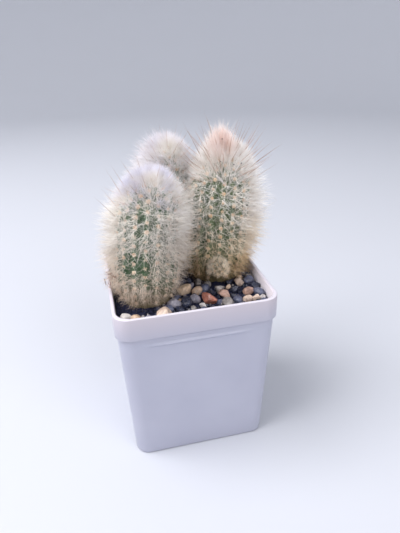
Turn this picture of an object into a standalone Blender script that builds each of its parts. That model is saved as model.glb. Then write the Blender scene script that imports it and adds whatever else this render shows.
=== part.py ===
# Three woolly columnar cacti in a square plastic pot, dressed with small stones.
# Units are metres, +Z is up, and the origin is the middle of the pot's underside.
# The viewer looks along +Y, so -X is the left side and -Y is the front.

import math
import random
from collections import namedtuple

import bmesh
import bpy
from mathutils import Matrix, Vector

MM = 0.001
GOLDEN_ANGLE = math.pi * (3 - math.sqrt(5))

# Pot: square in plan, with a vertical band round its rim and tapered walls below it
POT_HEIGHT = 66.5 * MM
RIM_HALF = 30.0 * MM
BAND_HEIGHT = 9.1 * MM
BAND_STEP = 0.8 * MM
BASE_HALF = 26.4 * MM
BASE_ROUND = 0.9 * MM
CORNER_RADIUS = 5.8 * MM
CORNER_SEGMENTS = 4
LIP_WIDTH = 1.25 * MM
LIP_ROUND = 0.35 * MM
FLOOR = 1.6 * MM
INNER_BASE_HALF = 25.1 * MM
BEAD_LENGTH = 38.0 * MM
BEAD_HEIGHT = 1.7 * MM
BEAD_RISE = 0.45 * MM
BEAD_DROP = 12.2 * MM
DRAIN_RADIUS = 1.75 * MM
DRAIN_OFFSET = 13.0 * MM

# Neighbouring pieces keep this gap
GAP = 0.3 * MM

# Filling: soil up to the bed of the gravel, and bare soil beside the left stem
SOIL_TOP = 58.8 * MM
BARE_TOP = 61.7 * MM
BARE_CENTRE = (-20.0 * MM, -10.0 * MM)
BARE_RADIUS = 11.0 * MM
BED_TOP = 61.8 * MM
FILL_CORNER = 4.4 * MM

# Stones of the top dressing
STONE_SEED = 7
STONE_TRIES = 5000
STONE_MIN = 1.5 * MM
STONE_MAX = 2.5 * MM
STONE_SPACING = 0.94
STONE_SINK = 0.3
# Each stone's x, y and z are stretched within these limits
STONE_STRETCH = ((0.9, 1.1), (0.85, 1.05), (0.68, 0.85))
STONE_REACH = 1.12
STONE_TILT = 0.2
# The larger stones that show in front: x, y and radius
SET_STONES = (
    (-1.0 * MM, -8.0 * MM, 2.7 * MM),
    (5.9 * MM, -17.7 * MM, 2.8 * MM),
    (11.8 * MM, -11.4 * MM, 2.2 * MM),
    (12.5 * MM, -16.1 * MM, 2.4 * MM),
    (21.0 * MM, -8.4 * MM, 2.3 * MM),
    (17.6 * MM, -12.4 * MM, 2.2 * MM),
    (22.4 * MM, -15.6 * MM, 2.0 * MM),
    (25.4 * MM, -7.2 * MM, 1.9 * MM),
    (26.0 * MM, -12.0 * MM, 1.7 * MM),
    (20.2 * MM, -20.4 * MM, 1.8 * MM),
    (23.8 * MM, -20.8 * MM, 1.6 * MM),
    (15.9 * MM, -20.6 * MM, 1.9 * MM),
    (1.4 * MM, -15.9 * MM, 1.9 * MM),
    (-6.6 * MM, -17.2 * MM, 2.2 * MM),
    (-11.7 * MM, -23.1 * MM, 2.9 * MM),
    (-24.2 * MM, -23.6 * MM, 1.9 * MM),
    (-19.8 * MM, -24.0 * MM, 2.0 * MM),
    (3.2 * MM, -9.8 * MM, 1.7 * MM),
    (6.4 * MM, -8.0 * MM, 1.8 * MM),
    (2.4 * MM, -21.4 * MM, 1.8 * MM),
)

# Stems: each foot is where its centre line leaves the soil, and lean is how far the crown moves aside
Stem = namedtuple("Stem", "name foot lean radius crown ribs hair tuft spine spines seed")
STEMS = (
    Stem("stem_left", (-15.5, -6.5), (4.6, 1.0), 11.0, 108.0, 18, 5.0, 6.0, 11.5, 14, 11),
    Stem("stem_right", (15.0, 6.5), (4.4, 0.6), 11.6, 112.5, 18, 5.6, 8.5, 15.0, 30, 12),
    Stem("stem_back", (-5.0, 17.0), (4.2, 0.5), 8.9, 114.0, 16, 4.6, 5.6, 8.5, 14, 13),
)
BEND = 1.6
WAIST = 0.84
WAIST_RISE = 0.3
DOME_START = 0.60
DOME_POWER = 2.2
COLUMN_RINGS = 7
DOME_RINGS = 5
RIB_DEPTH = 0.075
ROOT_TIP = 44.0 * MM
ROOT_TIP_SHARE = 0.16
ROOT_NECK = 56.5 * MM
ROOT_RINGS = 3
RIB_START = 4.0 * MM

# The pup that grows from the right stem's base, in front
PUP_CENTRE = Vector((11.4, -5.2, 68.2)) * MM
PUP_RADIUS = 3.5 * MM
PUP_RIBS = 9
PUP_RINGS = 7
PUP_HAIR = 1.6 * MM
PUP_NEEDLES = 34

# Needles: hairs and spines, three-sided
HAIR_WIDTH = 0.8 * MM
SPINE_WIDTH = 0.75 * MM
NEEDLE_SINK = 1.1 * MM
HAIR_ROWS = 9
HAIR_LOWEST = 67.6 * MM
HAIR_HIGHEST = 0.93
HAIR_STRAY = 0.55
TUFT_NEEDLES = 16
TUFT_SPREAD = 0.32
TUFT_SLOPE = 0.25
TUFT_FAN = 4.0 * MM
SPINE_TOP = 0.97
SPINE_BAND = 0.13
SPINE_LEAN = (0.45, 1.7)
SPINE_UP = 0.8
NEEDLE_CLEAR = 0.5 * MM
NEEDLE_FLOOR = 66.9 * MM
SHORTEST = 1.6 * MM


def clear_scene():
    for item in list(bpy.data.objects):
        bpy.data.objects.remove(item, do_unlink=True)


def material(name, colour, roughness):
    """A Principled BSDF material with one colour."""
    made = bpy.data.materials.new(name)
    made.use_nodes = True
    shader = made.node_tree.nodes["Principled BSDF"]
    shader.inputs["Base Color"].default_value = (*colour, 1.0)
    shader.inputs["Roughness"].default_value = roughness
    shader.inputs["Metallic"].default_value = 0.0
    made.diffuse_color = (*colour, 1.0)
    return made


def add_object(name, bm, finish=None):
    """Turn a bmesh into a linked object, and free the bmesh."""
    bmesh.ops.recalc_face_normals(bm, faces=bm.faces[:])
    mesh = bpy.data.meshes.new(name)
    bm.to_mesh(mesh)
    bm.free()
    made = bpy.data.objects.new(name, mesh)
    bpy.context.scene.collection.objects.link(made)
    if finish:
        mesh.materials.append(finish)
    return made


def apply_boolean(target, operation, others, solver="EXACT"):
    """Join or cut target by a collection of closed objects, then remove them."""
    group = bpy.data.collections.new(target.name + "_repeats")
    bpy.context.scene.collection.children.link(group)
    for item in others:
        group.objects.link(item)
    change = target.modifiers.new("join", "BOOLEAN")
    change.operand_type = "COLLECTION"
    change.collection = group
    change.operation = operation
    change.solver = solver
    graph = bpy.context.evaluated_depsgraph_get()
    result = bpy.data.meshes.new_from_object(target.evaluated_get(graph))
    target.modifiers.clear()
    old = target.data
    target.data = result
    result.name = old.name
    bpy.data.meshes.remove(old)
    for item in others:
        bpy.data.objects.remove(item, do_unlink=True)
    bpy.data.collections.remove(group)


def keep_outer_body(target):
    """Drop loose scraps and sealed hollows, and merge points that lie together."""
    bm = bmesh.new()
    bm.from_mesh(target.data)
    bmesh.ops.remove_doubles(bm, verts=bm.verts[:], dist=0.00001 * MM)
    bm.verts.ensure_lookup_table()
    unseen = set(bm.verts)
    groups = []
    while unseen:
        start = unseen.pop()
        group = {start}
        front = [start]
        while front:
            here = front.pop()
            for edge in here.link_edges:
                there = edge.other_vert(here)
                if there in unseen:
                    unseen.discard(there)
                    group.add(there)
                    front.append(there)
        groups.append(group)
    groups.sort(key=len, reverse=True)
    scraps = [vert for group in groups[1:] for vert in group]
    bmesh.ops.delete(bm, geom=scraps, context="VERTS")
    bmesh.ops.triangulate(bm, faces=bm.faces[:])
    bm.to_mesh(target.data)
    bm.free()


def rounded_plate(bm, half, corner, height):
    """A square face with round corners at a height."""
    made = bmesh.ops.create_grid(bm, x_segments=1, y_segments=1, size=half)
    bmesh.ops.translate(bm, verts=made["verts"], vec=(0, 0, height))
    bmesh.ops.bevel(
        bm, geom=made["verts"], offset=corner, offset_type="OFFSET", affect="VERTICES",
        segments=CORNER_SEGMENTS, profile=0.5, material=-1,
    )
    return bm.faces[:][0]


def extrude_cap(bm, cap):
    """Extrude one face, and return the new cap. The old one goes, except under the first."""
    made = bmesh.ops.extrude_face_region(bm, geom=[cap])["geom"]
    if all(len(edge.link_faces) > 2 for edge in cap.edges):
        bmesh.ops.delete(bm, geom=[cap], context="FACES_ONLY")
    return next(item for item in made if isinstance(item, bmesh.types.BMFace))


def raise_section(bm, cap, half, height):
    """Extrude the cap to a new half-width and height."""
    cap = extrude_cap(bm, cap)
    now = max(vert.co.x for vert in cap.verts)
    for vert in cap.verts:
        vert.co.x *= half / now
        vert.co.y *= half / now
        vert.co.z = height
    return cap


def round_steps(count):
    """Points of a quarter circle, as (aside, along) shares from 0 to 1."""
    for step in range(1, count + 1):
        angle = math.pi / 2 * step / count
        yield math.sin(angle), 1 - math.cos(angle)


def inner_half(height):
    """Half-width of the pot's inside at a height."""
    share = (height - FLOOR) / (POT_HEIGHT - FLOOR)
    return INNER_BASE_HALF + (RIM_HALF - LIP_WIDTH - INNER_BASE_HALF) * share


def pot_shell():
    """The pot's wall, floor, band and lip, from one rising and falling outline."""
    bm = bmesh.new()
    cap = rounded_plate(bm, BASE_HALF - BASE_ROUND, CORNER_RADIUS - BASE_ROUND, 0.0)
    for aside, along in round_steps(3):
        cap = raise_section(bm, cap, BASE_HALF - BASE_ROUND + BASE_ROUND * aside, BASE_ROUND * along)
    band_foot = POT_HEIGHT - BAND_HEIGHT
    cap = raise_section(bm, cap, RIM_HALF - BAND_STEP, band_foot)
    cap = raise_section(bm, cap, RIM_HALF - LIP_ROUND, band_foot + LIP_ROUND)
    cap = raise_section(bm, cap, RIM_HALF, band_foot + 3 * LIP_ROUND)
    cap = raise_section(bm, cap, RIM_HALF, POT_HEIGHT - LIP_ROUND)
    cap = raise_section(bm, cap, RIM_HALF - LIP_ROUND, POT_HEIGHT)
    bmesh.ops.inset_region(bm, faces=[cap], thickness=LIP_WIDTH - 2 * LIP_ROUND, use_even_offset=True)
    cap = raise_section(bm, cap, RIM_HALF - LIP_WIDTH, POT_HEIGHT - LIP_ROUND)
    raise_section(bm, cap, INNER_BASE_HALF, FLOOR)
    return bm


def bead_bar(turn):
    """One shallow bead, as a chamfered bar half sunk into a wall."""
    band_foot = POT_HEIGHT - BAND_HEIGHT
    height = POT_HEIGHT - BEAD_DROP
    share = height / band_foot
    wall = BASE_HALF + (RIM_HALF - BAND_STEP - BASE_HALF) * share
    sunk = BEAD_RISE
    bm = bmesh.new()
    bmesh.ops.create_cube(bm, size=1.0)
    bmesh.ops.scale(bm, verts=bm.verts[:], vec=(BEAD_LENGTH, BEAD_RISE + sunk, BEAD_HEIGHT))
    bmesh.ops.translate(bm, verts=bm.verts[:], vec=(0, -wall + (sunk - BEAD_RISE) / 2, height))
    front = [edge for edge in bm.edges if all(vert.co.y < -wall for vert in edge.verts)]
    bmesh.ops.bevel(
        bm, geom=front, offset=0.9 * BEAD_RISE, offset_type="OFFSET", affect="EDGES",
        segments=1, profile=0.5, material=-1,
    )
    bmesh.ops.rotate(bm, verts=bm.verts[:], matrix=Matrix.Rotation(turn, 3, "Z"))
    return add_object("bead", bm)


def drain_cutter(x, y):
    bm = bmesh.new()
    bmesh.ops.create_cone(
        bm, cap_ends=True, segments=16, radius1=DRAIN_RADIUS, radius2=DRAIN_RADIUS,
        depth=4 * FLOOR, matrix=Matrix.Translation((x, y, 0)),
    )
    return add_object("drain", bm)


def make_pot():
    pot = add_object("pot", pot_shell(), material("pot", (0.80, 0.80, 0.84), 0.42))
    apply_boolean(pot, "UNION", [bead_bar(turn * math.pi / 2) for turn in range(4)])
    places = [(x * DRAIN_OFFSET, y * DRAIN_OFFSET) for x in (-1, 1) for y in (-1, 1)]
    apply_boolean(pot, "DIFFERENCE", [drain_cutter(x, y) for x, y in places])
    keep_outer_body(pot)


def centre_line(stem, height):
    """Where a stem's centre line is at a height."""
    share = max(0.0, (height - BARE_TOP) / (stem.crown * MM - BARE_TOP))
    drift = share ** BEND
    return Vector((
        (stem.foot[0] + stem.lean[0] * drift) * MM,
        (stem.foot[1] + stem.lean[1] * drift) * MM,
        height,
    ))


def skin_radius(stem, height):
    """Mean radius of a stem at a height, root crown included."""
    full = stem.radius * MM
    share = (height - BARE_TOP) / (stem.crown * MM - BARE_TOP)
    if height < BARE_TOP:
        if height >= ROOT_NECK:
            return full * WAIST
        down = (ROOT_NECK - height) / (ROOT_NECK - ROOT_TIP)
        return full * (WAIST + (ROOT_TIP_SHARE - WAIST) * math.sin(down * math.pi / 2))
    if share < WAIST_RISE:
        return full * (WAIST + (1 - WAIST) * math.sin(share / WAIST_RISE * math.pi / 2))
    if share < DOME_START:
        return full
    up = min(1.0, (share - DOME_START) / (1 - DOME_START))
    return full * math.sqrt(max(0.0, 1 - up ** DOME_POWER))


def ring_heights(stem):
    """Heights of a stem's rings, from above the root's tip to below the crown's."""
    crown = stem.crown * MM
    heights = [ROOT_TIP + (ROOT_NECK - ROOT_TIP) * step / ROOT_RINGS for step in range(1, ROOT_RINGS + 1)]
    heights.append(BARE_TOP)
    dome = BARE_TOP + (crown - BARE_TOP) * DOME_START
    for step in range(1, COLUMN_RINGS + 1):
        heights.append(BARE_TOP + (dome - BARE_TOP) * step / COLUMN_RINGS)
    for step in range(1, DOME_RINGS + 1):
        angle = math.pi / 2 * step / (DOME_RINGS + 0.6)
        heights.append(dome + (crown - dome) * math.sin(angle))
    return heights


def rib_share(stem, height):
    """How much of the ribs' depth there is at a height: none in the soil, all above it."""
    return min(1.0, max(0.0, (height - BARE_TOP) / RIB_START))


def place_ring(verts, before, centre, radius, ribs, depth):
    """Set a ring's points: crests and valleys in turn, found by their angle before."""
    step = math.pi / ribs
    for vert in verts:
        aside = vert.co - before
        number = round(math.atan2(aside.y, aside.x) / step)
        reach = radius * (1 + depth) if number % 2 == 0 else radius * (1 - depth)
        angle = number * step
        vert.co = centre + Vector((math.cos(angle) * reach, math.sin(angle) * reach, 0))


def ribbed_column(rings, ribs, tip):
    """A ribbed body from its rings (centre, radius, rib depth), closed by a tip."""
    bm = bmesh.new()
    centre, radius, depth = rings[0]
    matrix = Matrix.Translation(centre) @ Matrix.Rotation(-math.pi / 2, 4, "Z")
    bmesh.ops.create_circle(bm, cap_ends=True, segments=2 * ribs, radius=radius, matrix=matrix)
    cap = bm.faces[:][0]
    for ring in rings[1:]:
        before = centre
        centre, radius, depth = ring
        cap = extrude_cap(bm, cap)
        place_ring(cap.verts, before, centre, radius, ribs, depth)
    peak = bmesh.ops.poke(bm, faces=[cap])["verts"][0]
    peak.co = tip
    return bm


def stem_body(stem):
    rings = []
    for height in ring_heights(stem):
        depth = RIB_DEPTH * rib_share(stem, height)
        rings.append((centre_line(stem, height), skin_radius(stem, height), depth))
    bm = ribbed_column(rings, stem.ribs, centre_line(stem, stem.crown * MM))
    return add_object(stem.name, bm, material(stem.name, (0.30, 0.36, 0.22), 0.6))


def needle_mesh():
    """One three-sided needle, a unit long and wide, pointing along +Z."""
    bm = bmesh.new()
    bmesh.ops.create_cone(
        bm, cap_ends=True, segments=3, radius1=0.5, radius2=0.0, depth=1.0,
        matrix=Matrix.Translation((0, 0, 0.5)),
    )
    bmesh.ops.recalc_face_normals(bm, faces=bm.faces[:])
    mesh = bpy.data.meshes.new("needle")
    bm.to_mesh(mesh)
    bm.free()
    return mesh


def add_needle(mesh, root, direction, length, width, turn):
    """Place a needle with its root sunk under the skin at root."""
    made = bpy.data.objects.new("needle", mesh)
    aim = direction.to_track_quat("Z", "Y").to_matrix().to_4x4()
    size = Matrix.Diagonal((width, width, length + NEEDLE_SINK, 1))
    start = Matrix.Translation(root - direction * NEEDLE_SINK)
    made.matrix_world = start @ aim @ Matrix.Rotation(turn, 4, "Z") @ size
    return made


def outside_skin(stem, point):
    """About how far a point lies outside a stem's skin."""
    height = min(max(point.z, ROOT_TIP), stem.crown * MM)
    centre = centre_line(stem, height)
    aside = math.hypot(point.x - centre.x, point.y - centre.y) - skin_radius(stem, height)
    above = point.z - stem.crown * MM
    return max(aside, above)


def outside_pup(point):
    return (point - PUP_CENTRE).length - PUP_RADIUS


def is_clear(stem, point, own_pup):
    """True where a needle's point is on its own stem's side, over the rim and over the stones."""
    if point.z < NEEDLE_FLOOR and max(abs(point.x), abs(point.y)) > inner_half(POT_HEIGHT) - LIP_WIDTH:
        return False
    if point.z < NEEDLE_FLOOR - LIP_ROUND:
        return own_pup and point.z > BED_TOP + 2 * STONE_MIN
    own = outside_pup(point) if own_pup else outside_skin(stem, point)
    for other in STEMS:
        if other.name != stem.name and outside_skin(other, point) < own + NEEDLE_CLEAR:
            return False
    return True


def fit_needle(stem, root, direction, length, own_pup=False):
    """Lift a needle step by step, then shorten it, until it is clear. None where nothing is left."""
    for lift in (0.0, 0.3, 0.7):
        lifted = (direction + Vector((0, 0, lift))).normalized()
        if all(is_clear(stem, root + lifted * length * part, own_pup) for part in (0.5, 0.75, 1.0)):
            return lifted, length
    while length > SHORTEST:
        length *= 0.85
        if all(is_clear(stem, root + direction * length * part, own_pup) for part in (0.5, 1.0)):
            return direction, length
    return None


def skin_normal(stem, height, angle):
    """Outward direction of the skin at a height and an angle round the stem."""
    step = 0.5 * MM
    slope = (skin_radius(stem, height + step) - skin_radius(stem, height - step)) / (2 * step)
    normal = Vector((math.cos(angle), math.sin(angle), -slope))
    return normal.normalized()


def grow(needles, stem, mesh, root, direction, length, width, turn):
    """Fit a needle among its neighbours and add it, where it has room."""
    fitted = fit_needle(stem, root, direction.normalized(), length)
    if fitted:
        aim, reach = fitted
        needles.append(add_needle(mesh, root, aim, reach, width, turn))


def rib_hairs(stem, mesh, draw, needles):
    """Hairs from the areoles along every rib, in rows that alternate from rib to rib."""
    top_row = BARE_TOP + (stem.crown * MM - BARE_TOP) * HAIR_HIGHEST
    for row in range(HAIR_ROWS):
        for rib in range(stem.ribs):
            share = min(1.0, (row + 0.5 * (rib % 2)) / (HAIR_ROWS - 0.5))
            height = HAIR_LOWEST + (top_row - HAIR_LOWEST) * share
            angle = math.tau * rib / stem.ribs
            crest = skin_radius(stem, height) * (1 + RIB_DEPTH)
            root = centre_line(stem, height) + Vector((math.cos(angle), math.sin(angle), 0)) * crest
            stray = Vector((draw.uniform(-1, 1), draw.uniform(-1, 1), draw.uniform(-0.8, 1)))
            direction = skin_normal(stem, height, angle) + HAIR_STRAY * stray
            length = stem.hair * MM * draw.uniform(0.8, 1.25)
            grow(needles, stem, mesh, root, direction, length, HAIR_WIDTH, draw.uniform(0, 2))


def crown_tuft(stem, mesh, draw, needles):
    """Upright wool on the crown, fanned out from its middle."""
    centre = centre_line(stem, stem.crown * MM)
    for number in range(TUFT_NEEDLES):
        angle = GOLDEN_ANGLE * number
        aside = TUFT_SPREAD * stem.radius * MM * math.sqrt((number + 0.5) / TUFT_NEEDLES)
        flat = Vector((math.cos(angle), math.sin(angle), 0)) * aside
        root = centre + flat - Vector((0, 0, NEEDLE_SINK / 2 + TUFT_SLOPE * aside))
        direction = flat / TUFT_FAN + Vector((0, 0, 1.6))
        length = stem.tuft * MM * draw.uniform(0.75, 1.0)
        grow(needles, stem, mesh, root, direction, length, HAIR_WIDTH, draw.uniform(0, 2))


def crown_spines(stem, mesh, draw, needles):
    """Long spines that spread up and out of the shoulder of the crown."""
    for number in range(stem.spines):
        angle = GOLDEN_ANGLE * number + draw.uniform(-0.3, 0.3)
        share = SPINE_TOP - SPINE_BAND * number / stem.spines
        height = BARE_TOP + (stem.crown * MM - BARE_TOP) * share
        flat = Vector((math.cos(angle), math.sin(angle), 0))
        root = centre_line(stem, height) + flat * skin_radius(stem, height)
        direction = flat * draw.uniform(*SPINE_LEAN) + Vector((0, 0, SPINE_UP))
        length = stem.spine * MM * draw.uniform(0.7, 1.05)
        grow(needles, stem, mesh, root, direction, length, SPINE_WIDTH, draw.uniform(0, 2))


def stem_needles(stem, mesh):
    draw = random.Random(stem.seed)
    needles = []
    rib_hairs(stem, mesh, draw, needles)
    crown_tuft(stem, mesh, draw, needles)
    crown_spines(stem, mesh, draw, needles)
    return needles


def pup_body():
    rings = []
    for step in range(1, PUP_RINGS):
        angle = math.pi * step / PUP_RINGS
        centre = PUP_CENTRE - Vector((0, 0, PUP_RADIUS * math.cos(angle)))
        rings.append((centre, PUP_RADIUS * math.sin(angle), RIB_DEPTH))
    return add_object("pup", ribbed_column(rings, PUP_RIBS, PUP_CENTRE + Vector((0, 0, PUP_RADIUS))))


def pup_needles(stem, mesh):
    """Short spines over the free side of the pup, spread by the golden angle."""
    draw = random.Random(stem.seed + 100)
    needles = []
    for number in range(PUP_NEEDLES):
        up = 1 - 1.75 * (number + 0.5) / PUP_NEEDLES
        angle = GOLDEN_ANGLE * number
        flat = math.sqrt(max(0.0, 1 - up * up))
        direction = Vector((math.cos(angle) * flat, math.sin(angle) * flat, up))
        root = PUP_CENTRE + direction * PUP_RADIUS
        if outside_skin(stem, root + direction * PUP_HAIR) < PUP_HAIR:
            continue
        fitted = fit_needle(stem, root, direction, PUP_HAIR * draw.uniform(0.8, 1.3), own_pup=True)
        if fitted:
            aim, reach = fitted
            needles.append(add_needle(mesh, root, aim, reach, HAIR_WIDTH, draw.uniform(0, 2)))
    return needles


def make_stems():
    mesh = needle_mesh()
    for stem in STEMS:
        body = stem_body(stem)
        grown = stem_needles(stem, mesh)
        if stem.name == "stem_right":
            grown.append(pup_body())
            grown.extend(pup_needles(stem, mesh))
        apply_boolean(body, "UNION", grown, "MANIFOLD")
        keep_outer_body(body)
    bpy.data.meshes.remove(mesh)


def foot_cutter(stem):
    """A plain round hole for a stem's foot, a gap wider than it all round, open at the top."""
    steps = [ROOT_TIP - GAP]
    steps += [height for height in ring_heights(stem) if height <= BARE_TOP]
    sides = stem.ribs
    widen = 1 / math.cos(math.pi / sides)
    rings = []
    for height in steps:
        reach = (skin_radius(stem, max(height, ROOT_TIP)) + GAP) * widen
        rings.append((centre_line(stem, height), reach, 0.0))
    top = POT_HEIGHT
    reach = (skin_radius(stem, top) * (1 + RIB_DEPTH) + GAP) * widen
    rings.append((centre_line(stem, top), reach, 0.0))
    return add_object("hole", ribbed_column(rings, sides // 2, centre_line(stem, top + GAP)))


def fill_block(low, high, inset):
    """A block that fits inside the pot between two heights."""
    bm = bmesh.new()
    cap = rounded_plate(bm, inner_half(low) - inset, FILL_CORNER, low)
    raise_section(bm, cap, inner_half(high) - inset, high)
    return bm


def bare_cylinder(low, high, radius):
    """The round patch at the left stem where the soil lies bare."""
    bm = bmesh.new()
    middle = (BARE_CENTRE[0], BARE_CENTRE[1], (low + high) / 2)
    bmesh.ops.create_cone(
        bm, cap_ends=True, segments=32, radius1=radius, radius2=radius,
        depth=high - low, matrix=Matrix.Translation(middle),
    )
    return add_object("bare_patch", bm)


def make_soil():
    finish = material("soil", (0.05, 0.045, 0.045), 0.95)
    soil = add_object("soil", fill_block(FLOOR + GAP, BARE_TOP, GAP), finish)
    above = add_object("above", fill_block(SOIL_TOP, POT_HEIGHT, -2 * GAP))
    apply_boolean(above, "DIFFERENCE", [bare_cylinder(FLOOR, 2 * POT_HEIGHT, BARE_RADIUS)])
    apply_boolean(soil, "DIFFERENCE", [above])
    apply_boolean(soil, "DIFFERENCE", [foot_cutter(stem) for stem in STEMS])
    keep_outer_body(soil)


def stone_places():
    """Set stones first, then seeded draws that keep clear of stems, pup, bare soil and pot."""
    draw = random.Random(STONE_SEED)
    places = []

    def fits(x, y, size):
        reach = STONE_REACH * size + GAP
        if max(abs(x), abs(y)) > inner_half(BED_TOP) - reach:
            return False
        corner = inner_half(BED_TOP) - FILL_CORNER
        if math.hypot(max(0.0, abs(x) - corner), max(0.0, abs(y) - corner)) > FILL_CORNER - GAP - size:
            return False
        for stem in STEMS:
            centre = centre_line(stem, POT_HEIGHT)
            crest = skin_radius(stem, POT_HEIGHT) * (1 + RIB_DEPTH)
            if math.hypot(x - centre.x, y - centre.y) < crest + reach:
                return False
        if math.hypot(x - PUP_CENTRE.x, y - PUP_CENTRE.y) < PUP_RADIUS + reach - GAP:
            return False
        if math.hypot(x - BARE_CENTRE[0], y - BARE_CENTRE[1]) < BARE_RADIUS + reach:
            return False
        return all(
            math.hypot(x - other[0], y - other[1]) > STONE_SPACING * (size + other[2])
            for other in places
        )

    for stone in SET_STONES:
        if fits(*stone):
            places.append(stone)
        else:
            print("a set stone has no room at", stone)
    for _ in range(STONE_TRIES):
        size = draw.uniform(STONE_MIN, STONE_MAX)
        x = draw.uniform(-RIM_HALF, RIM_HALF)
        y = draw.uniform(-RIM_HALF, RIM_HALF)
        if fits(x, y, size):
            places.append((x, y, size))
    return places


def stone_object(draw, x, y, size):
    """A rounded, uneven stone, partly sunk into the bed."""
    bm = bmesh.new()
    bmesh.ops.create_icosphere(bm, subdivisions=1, radius=size)
    stretch = Vector([draw.uniform(*limits) for limits in STONE_STRETCH])
    bmesh.ops.scale(bm, verts=bm.verts[:], vec=stretch)
    tilt = Matrix.Rotation(draw.uniform(-STONE_TILT, STONE_TILT), 3, "X")
    turn = Matrix.Rotation(draw.uniform(0, math.tau), 3, "Z")
    bmesh.ops.rotate(bm, verts=bm.verts[:], matrix=turn @ tilt)
    bmesh.ops.translate(bm, verts=bm.verts[:], vec=(x, y, BED_TOP + size * STONE_SINK))
    return add_object("stone", bm)


def make_gravel():
    finish = material("gravel", (0.22, 0.20, 0.19), 0.7)
    gravel = add_object("gravel", fill_block(SOIL_TOP + GAP, BED_TOP, GAP), finish)
    cutters = [foot_cutter(stem) for stem in STEMS]
    cutters.append(bare_cylinder(FLOOR, 2 * POT_HEIGHT, BARE_RADIUS + GAP))
    apply_boolean(gravel, "DIFFERENCE", cutters)
    draw = random.Random(STONE_SEED + 1)
    places = stone_places()
    stones = [stone_object(draw, *place) for place in places]
    apply_boolean(gravel, "UNION", stones, "MANIFOLD")
    keep_outer_body(gravel)
    print("stones:", len(places))


def shade_round_pieces():
    for item in bpy.context.scene.objects:
        item.data.shade_smooth()
        item.data.set_sharp_from_angle(angle=math.radians(35))


def main():
    clear_scene()
    make_pot()
    make_soil()
    make_gravel()
    make_stems()
    shade_round_pieces()
    for item in bpy.context.scene.objects:
        print(item.name, len(item.data.polygons), "faces")


main()
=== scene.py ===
# %% [markdown]
# # Three woolly columnar cacti in a square pot
#
# The real object is a thin plastic pot, filled with dark soil and dressed with small stones, in which three
# ribbed columns grow. Each column hides under thousands of fine hairs. This lesson dresses the frame, which
# holds the plain solids at their real size, with finer pieces that keep the same form: pot, soil, stones,
# skins, felted areoles, hairs, crown wool and spines.
#
# Units are metres, +Z is up, and the viewer in front looks along +Y.

import math
import random
from collections import namedtuple

import bmesh
import bpy
from mathutils import Matrix, Vector, noise


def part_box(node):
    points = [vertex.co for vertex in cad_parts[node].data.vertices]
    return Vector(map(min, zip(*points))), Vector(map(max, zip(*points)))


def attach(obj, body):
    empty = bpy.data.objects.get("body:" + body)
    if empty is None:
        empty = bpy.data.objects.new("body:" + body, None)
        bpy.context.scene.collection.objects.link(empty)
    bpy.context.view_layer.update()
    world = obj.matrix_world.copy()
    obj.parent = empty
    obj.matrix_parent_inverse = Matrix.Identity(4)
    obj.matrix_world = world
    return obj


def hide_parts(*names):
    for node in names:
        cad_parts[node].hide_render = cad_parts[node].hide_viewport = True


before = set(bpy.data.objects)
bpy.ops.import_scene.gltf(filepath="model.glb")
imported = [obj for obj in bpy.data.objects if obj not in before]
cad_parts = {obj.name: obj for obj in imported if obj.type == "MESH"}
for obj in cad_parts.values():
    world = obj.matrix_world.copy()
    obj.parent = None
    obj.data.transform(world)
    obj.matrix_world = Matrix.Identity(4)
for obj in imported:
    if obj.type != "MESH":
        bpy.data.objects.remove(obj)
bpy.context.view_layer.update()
MM = 0.001
print("nodes in the frame:", sorted(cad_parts))

# %% [markdown]
# ## Camera
#
# The view looks down on the plant from a hand's height above the pot, a little from the left. A camera is
# easiest to aim by three turns in a row: round the vertical (yaw), down (pitch) and round its own line of
# sight (roll). The field of view is wide for so small a thing, as in a close picture, so the pot narrows
# clearly towards its foot.

# %% Camera
CAMERA_PLACE = Vector((-30.5, -162.6, 151.3)) * MM
CAMERA_YAW = math.radians(12.99)
CAMERA_PITCH = math.radians(26.55)
CAMERA_ROLL = math.radians(-1.45)
CAMERA_LENS = 31.33
CAMERA_CLIP = (5 * MM, 20.0)

camera_data = bpy.data.cameras.new("camera")
camera_data.sensor_width = 36.0
camera_data.lens = CAMERA_LENS
camera_data.clip_start, camera_data.clip_end = CAMERA_CLIP
camera = bpy.data.objects.new("camera", camera_data)
bpy.context.scene.collection.objects.link(camera)
aim = Matrix.Rotation(-CAMERA_YAW, 4, "Z") @ Matrix.Rotation(math.pi / 2 - CAMERA_PITCH, 4, "X")
camera.matrix_world = Matrix.Translation(CAMERA_PLACE) @ aim @ Matrix.Rotation(CAMERA_ROLL, 4, "Z")
bpy.context.scene.camera = camera
print("camera at", [round(value / MM, 1) for value in camera.location], "mm, lens", CAMERA_LENS)

# %% [markdown]
# ## Tools for pieces and finishes
#
# Every piece is built in a bmesh, turned into an object at the origin, and told what it rides on and which
# plain solid it stands for. Every finish is a Principled shader with a few texture nodes in front of it. The
# small helpers here keep the later cells short. Colours are written as red, green and blue from 0 to 255, as
# a colour picker shows them, and turned into the linear values that a shader works with.

# %% Helpers for pieces
def to_mesh(name, bm):
    """Turn a bmesh into a mesh, and free it."""
    mesh = bpy.data.meshes.new(name)
    bm.to_mesh(mesh)
    bm.free()
    return mesh


def add_object(name, data):
    """An object at the origin for a mesh or a lamp."""
    item = bpy.data.objects.new(name, data)
    bpy.context.scene.collection.objects.link(item)
    return item


def add_piece(name, bm, material, node, smooth_angle=None):
    """Turn a bmesh into a piece that rides on the body and stands for a node of the frame."""
    mesh = to_mesh(name, bm)
    if smooth_angle:
        mesh.shade_smooth()
        mesh.set_sharp_from_angle(angle=math.radians(smooth_angle))
    mesh.materials.append(material)
    piece = add_object(name, mesh)
    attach(piece, "root")
    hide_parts(node)
    triangles = sum(len(face.vertices) - 2 for face in mesh.polygons)
    print(f"{name}: {triangles} triangles")
    return piece


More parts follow.
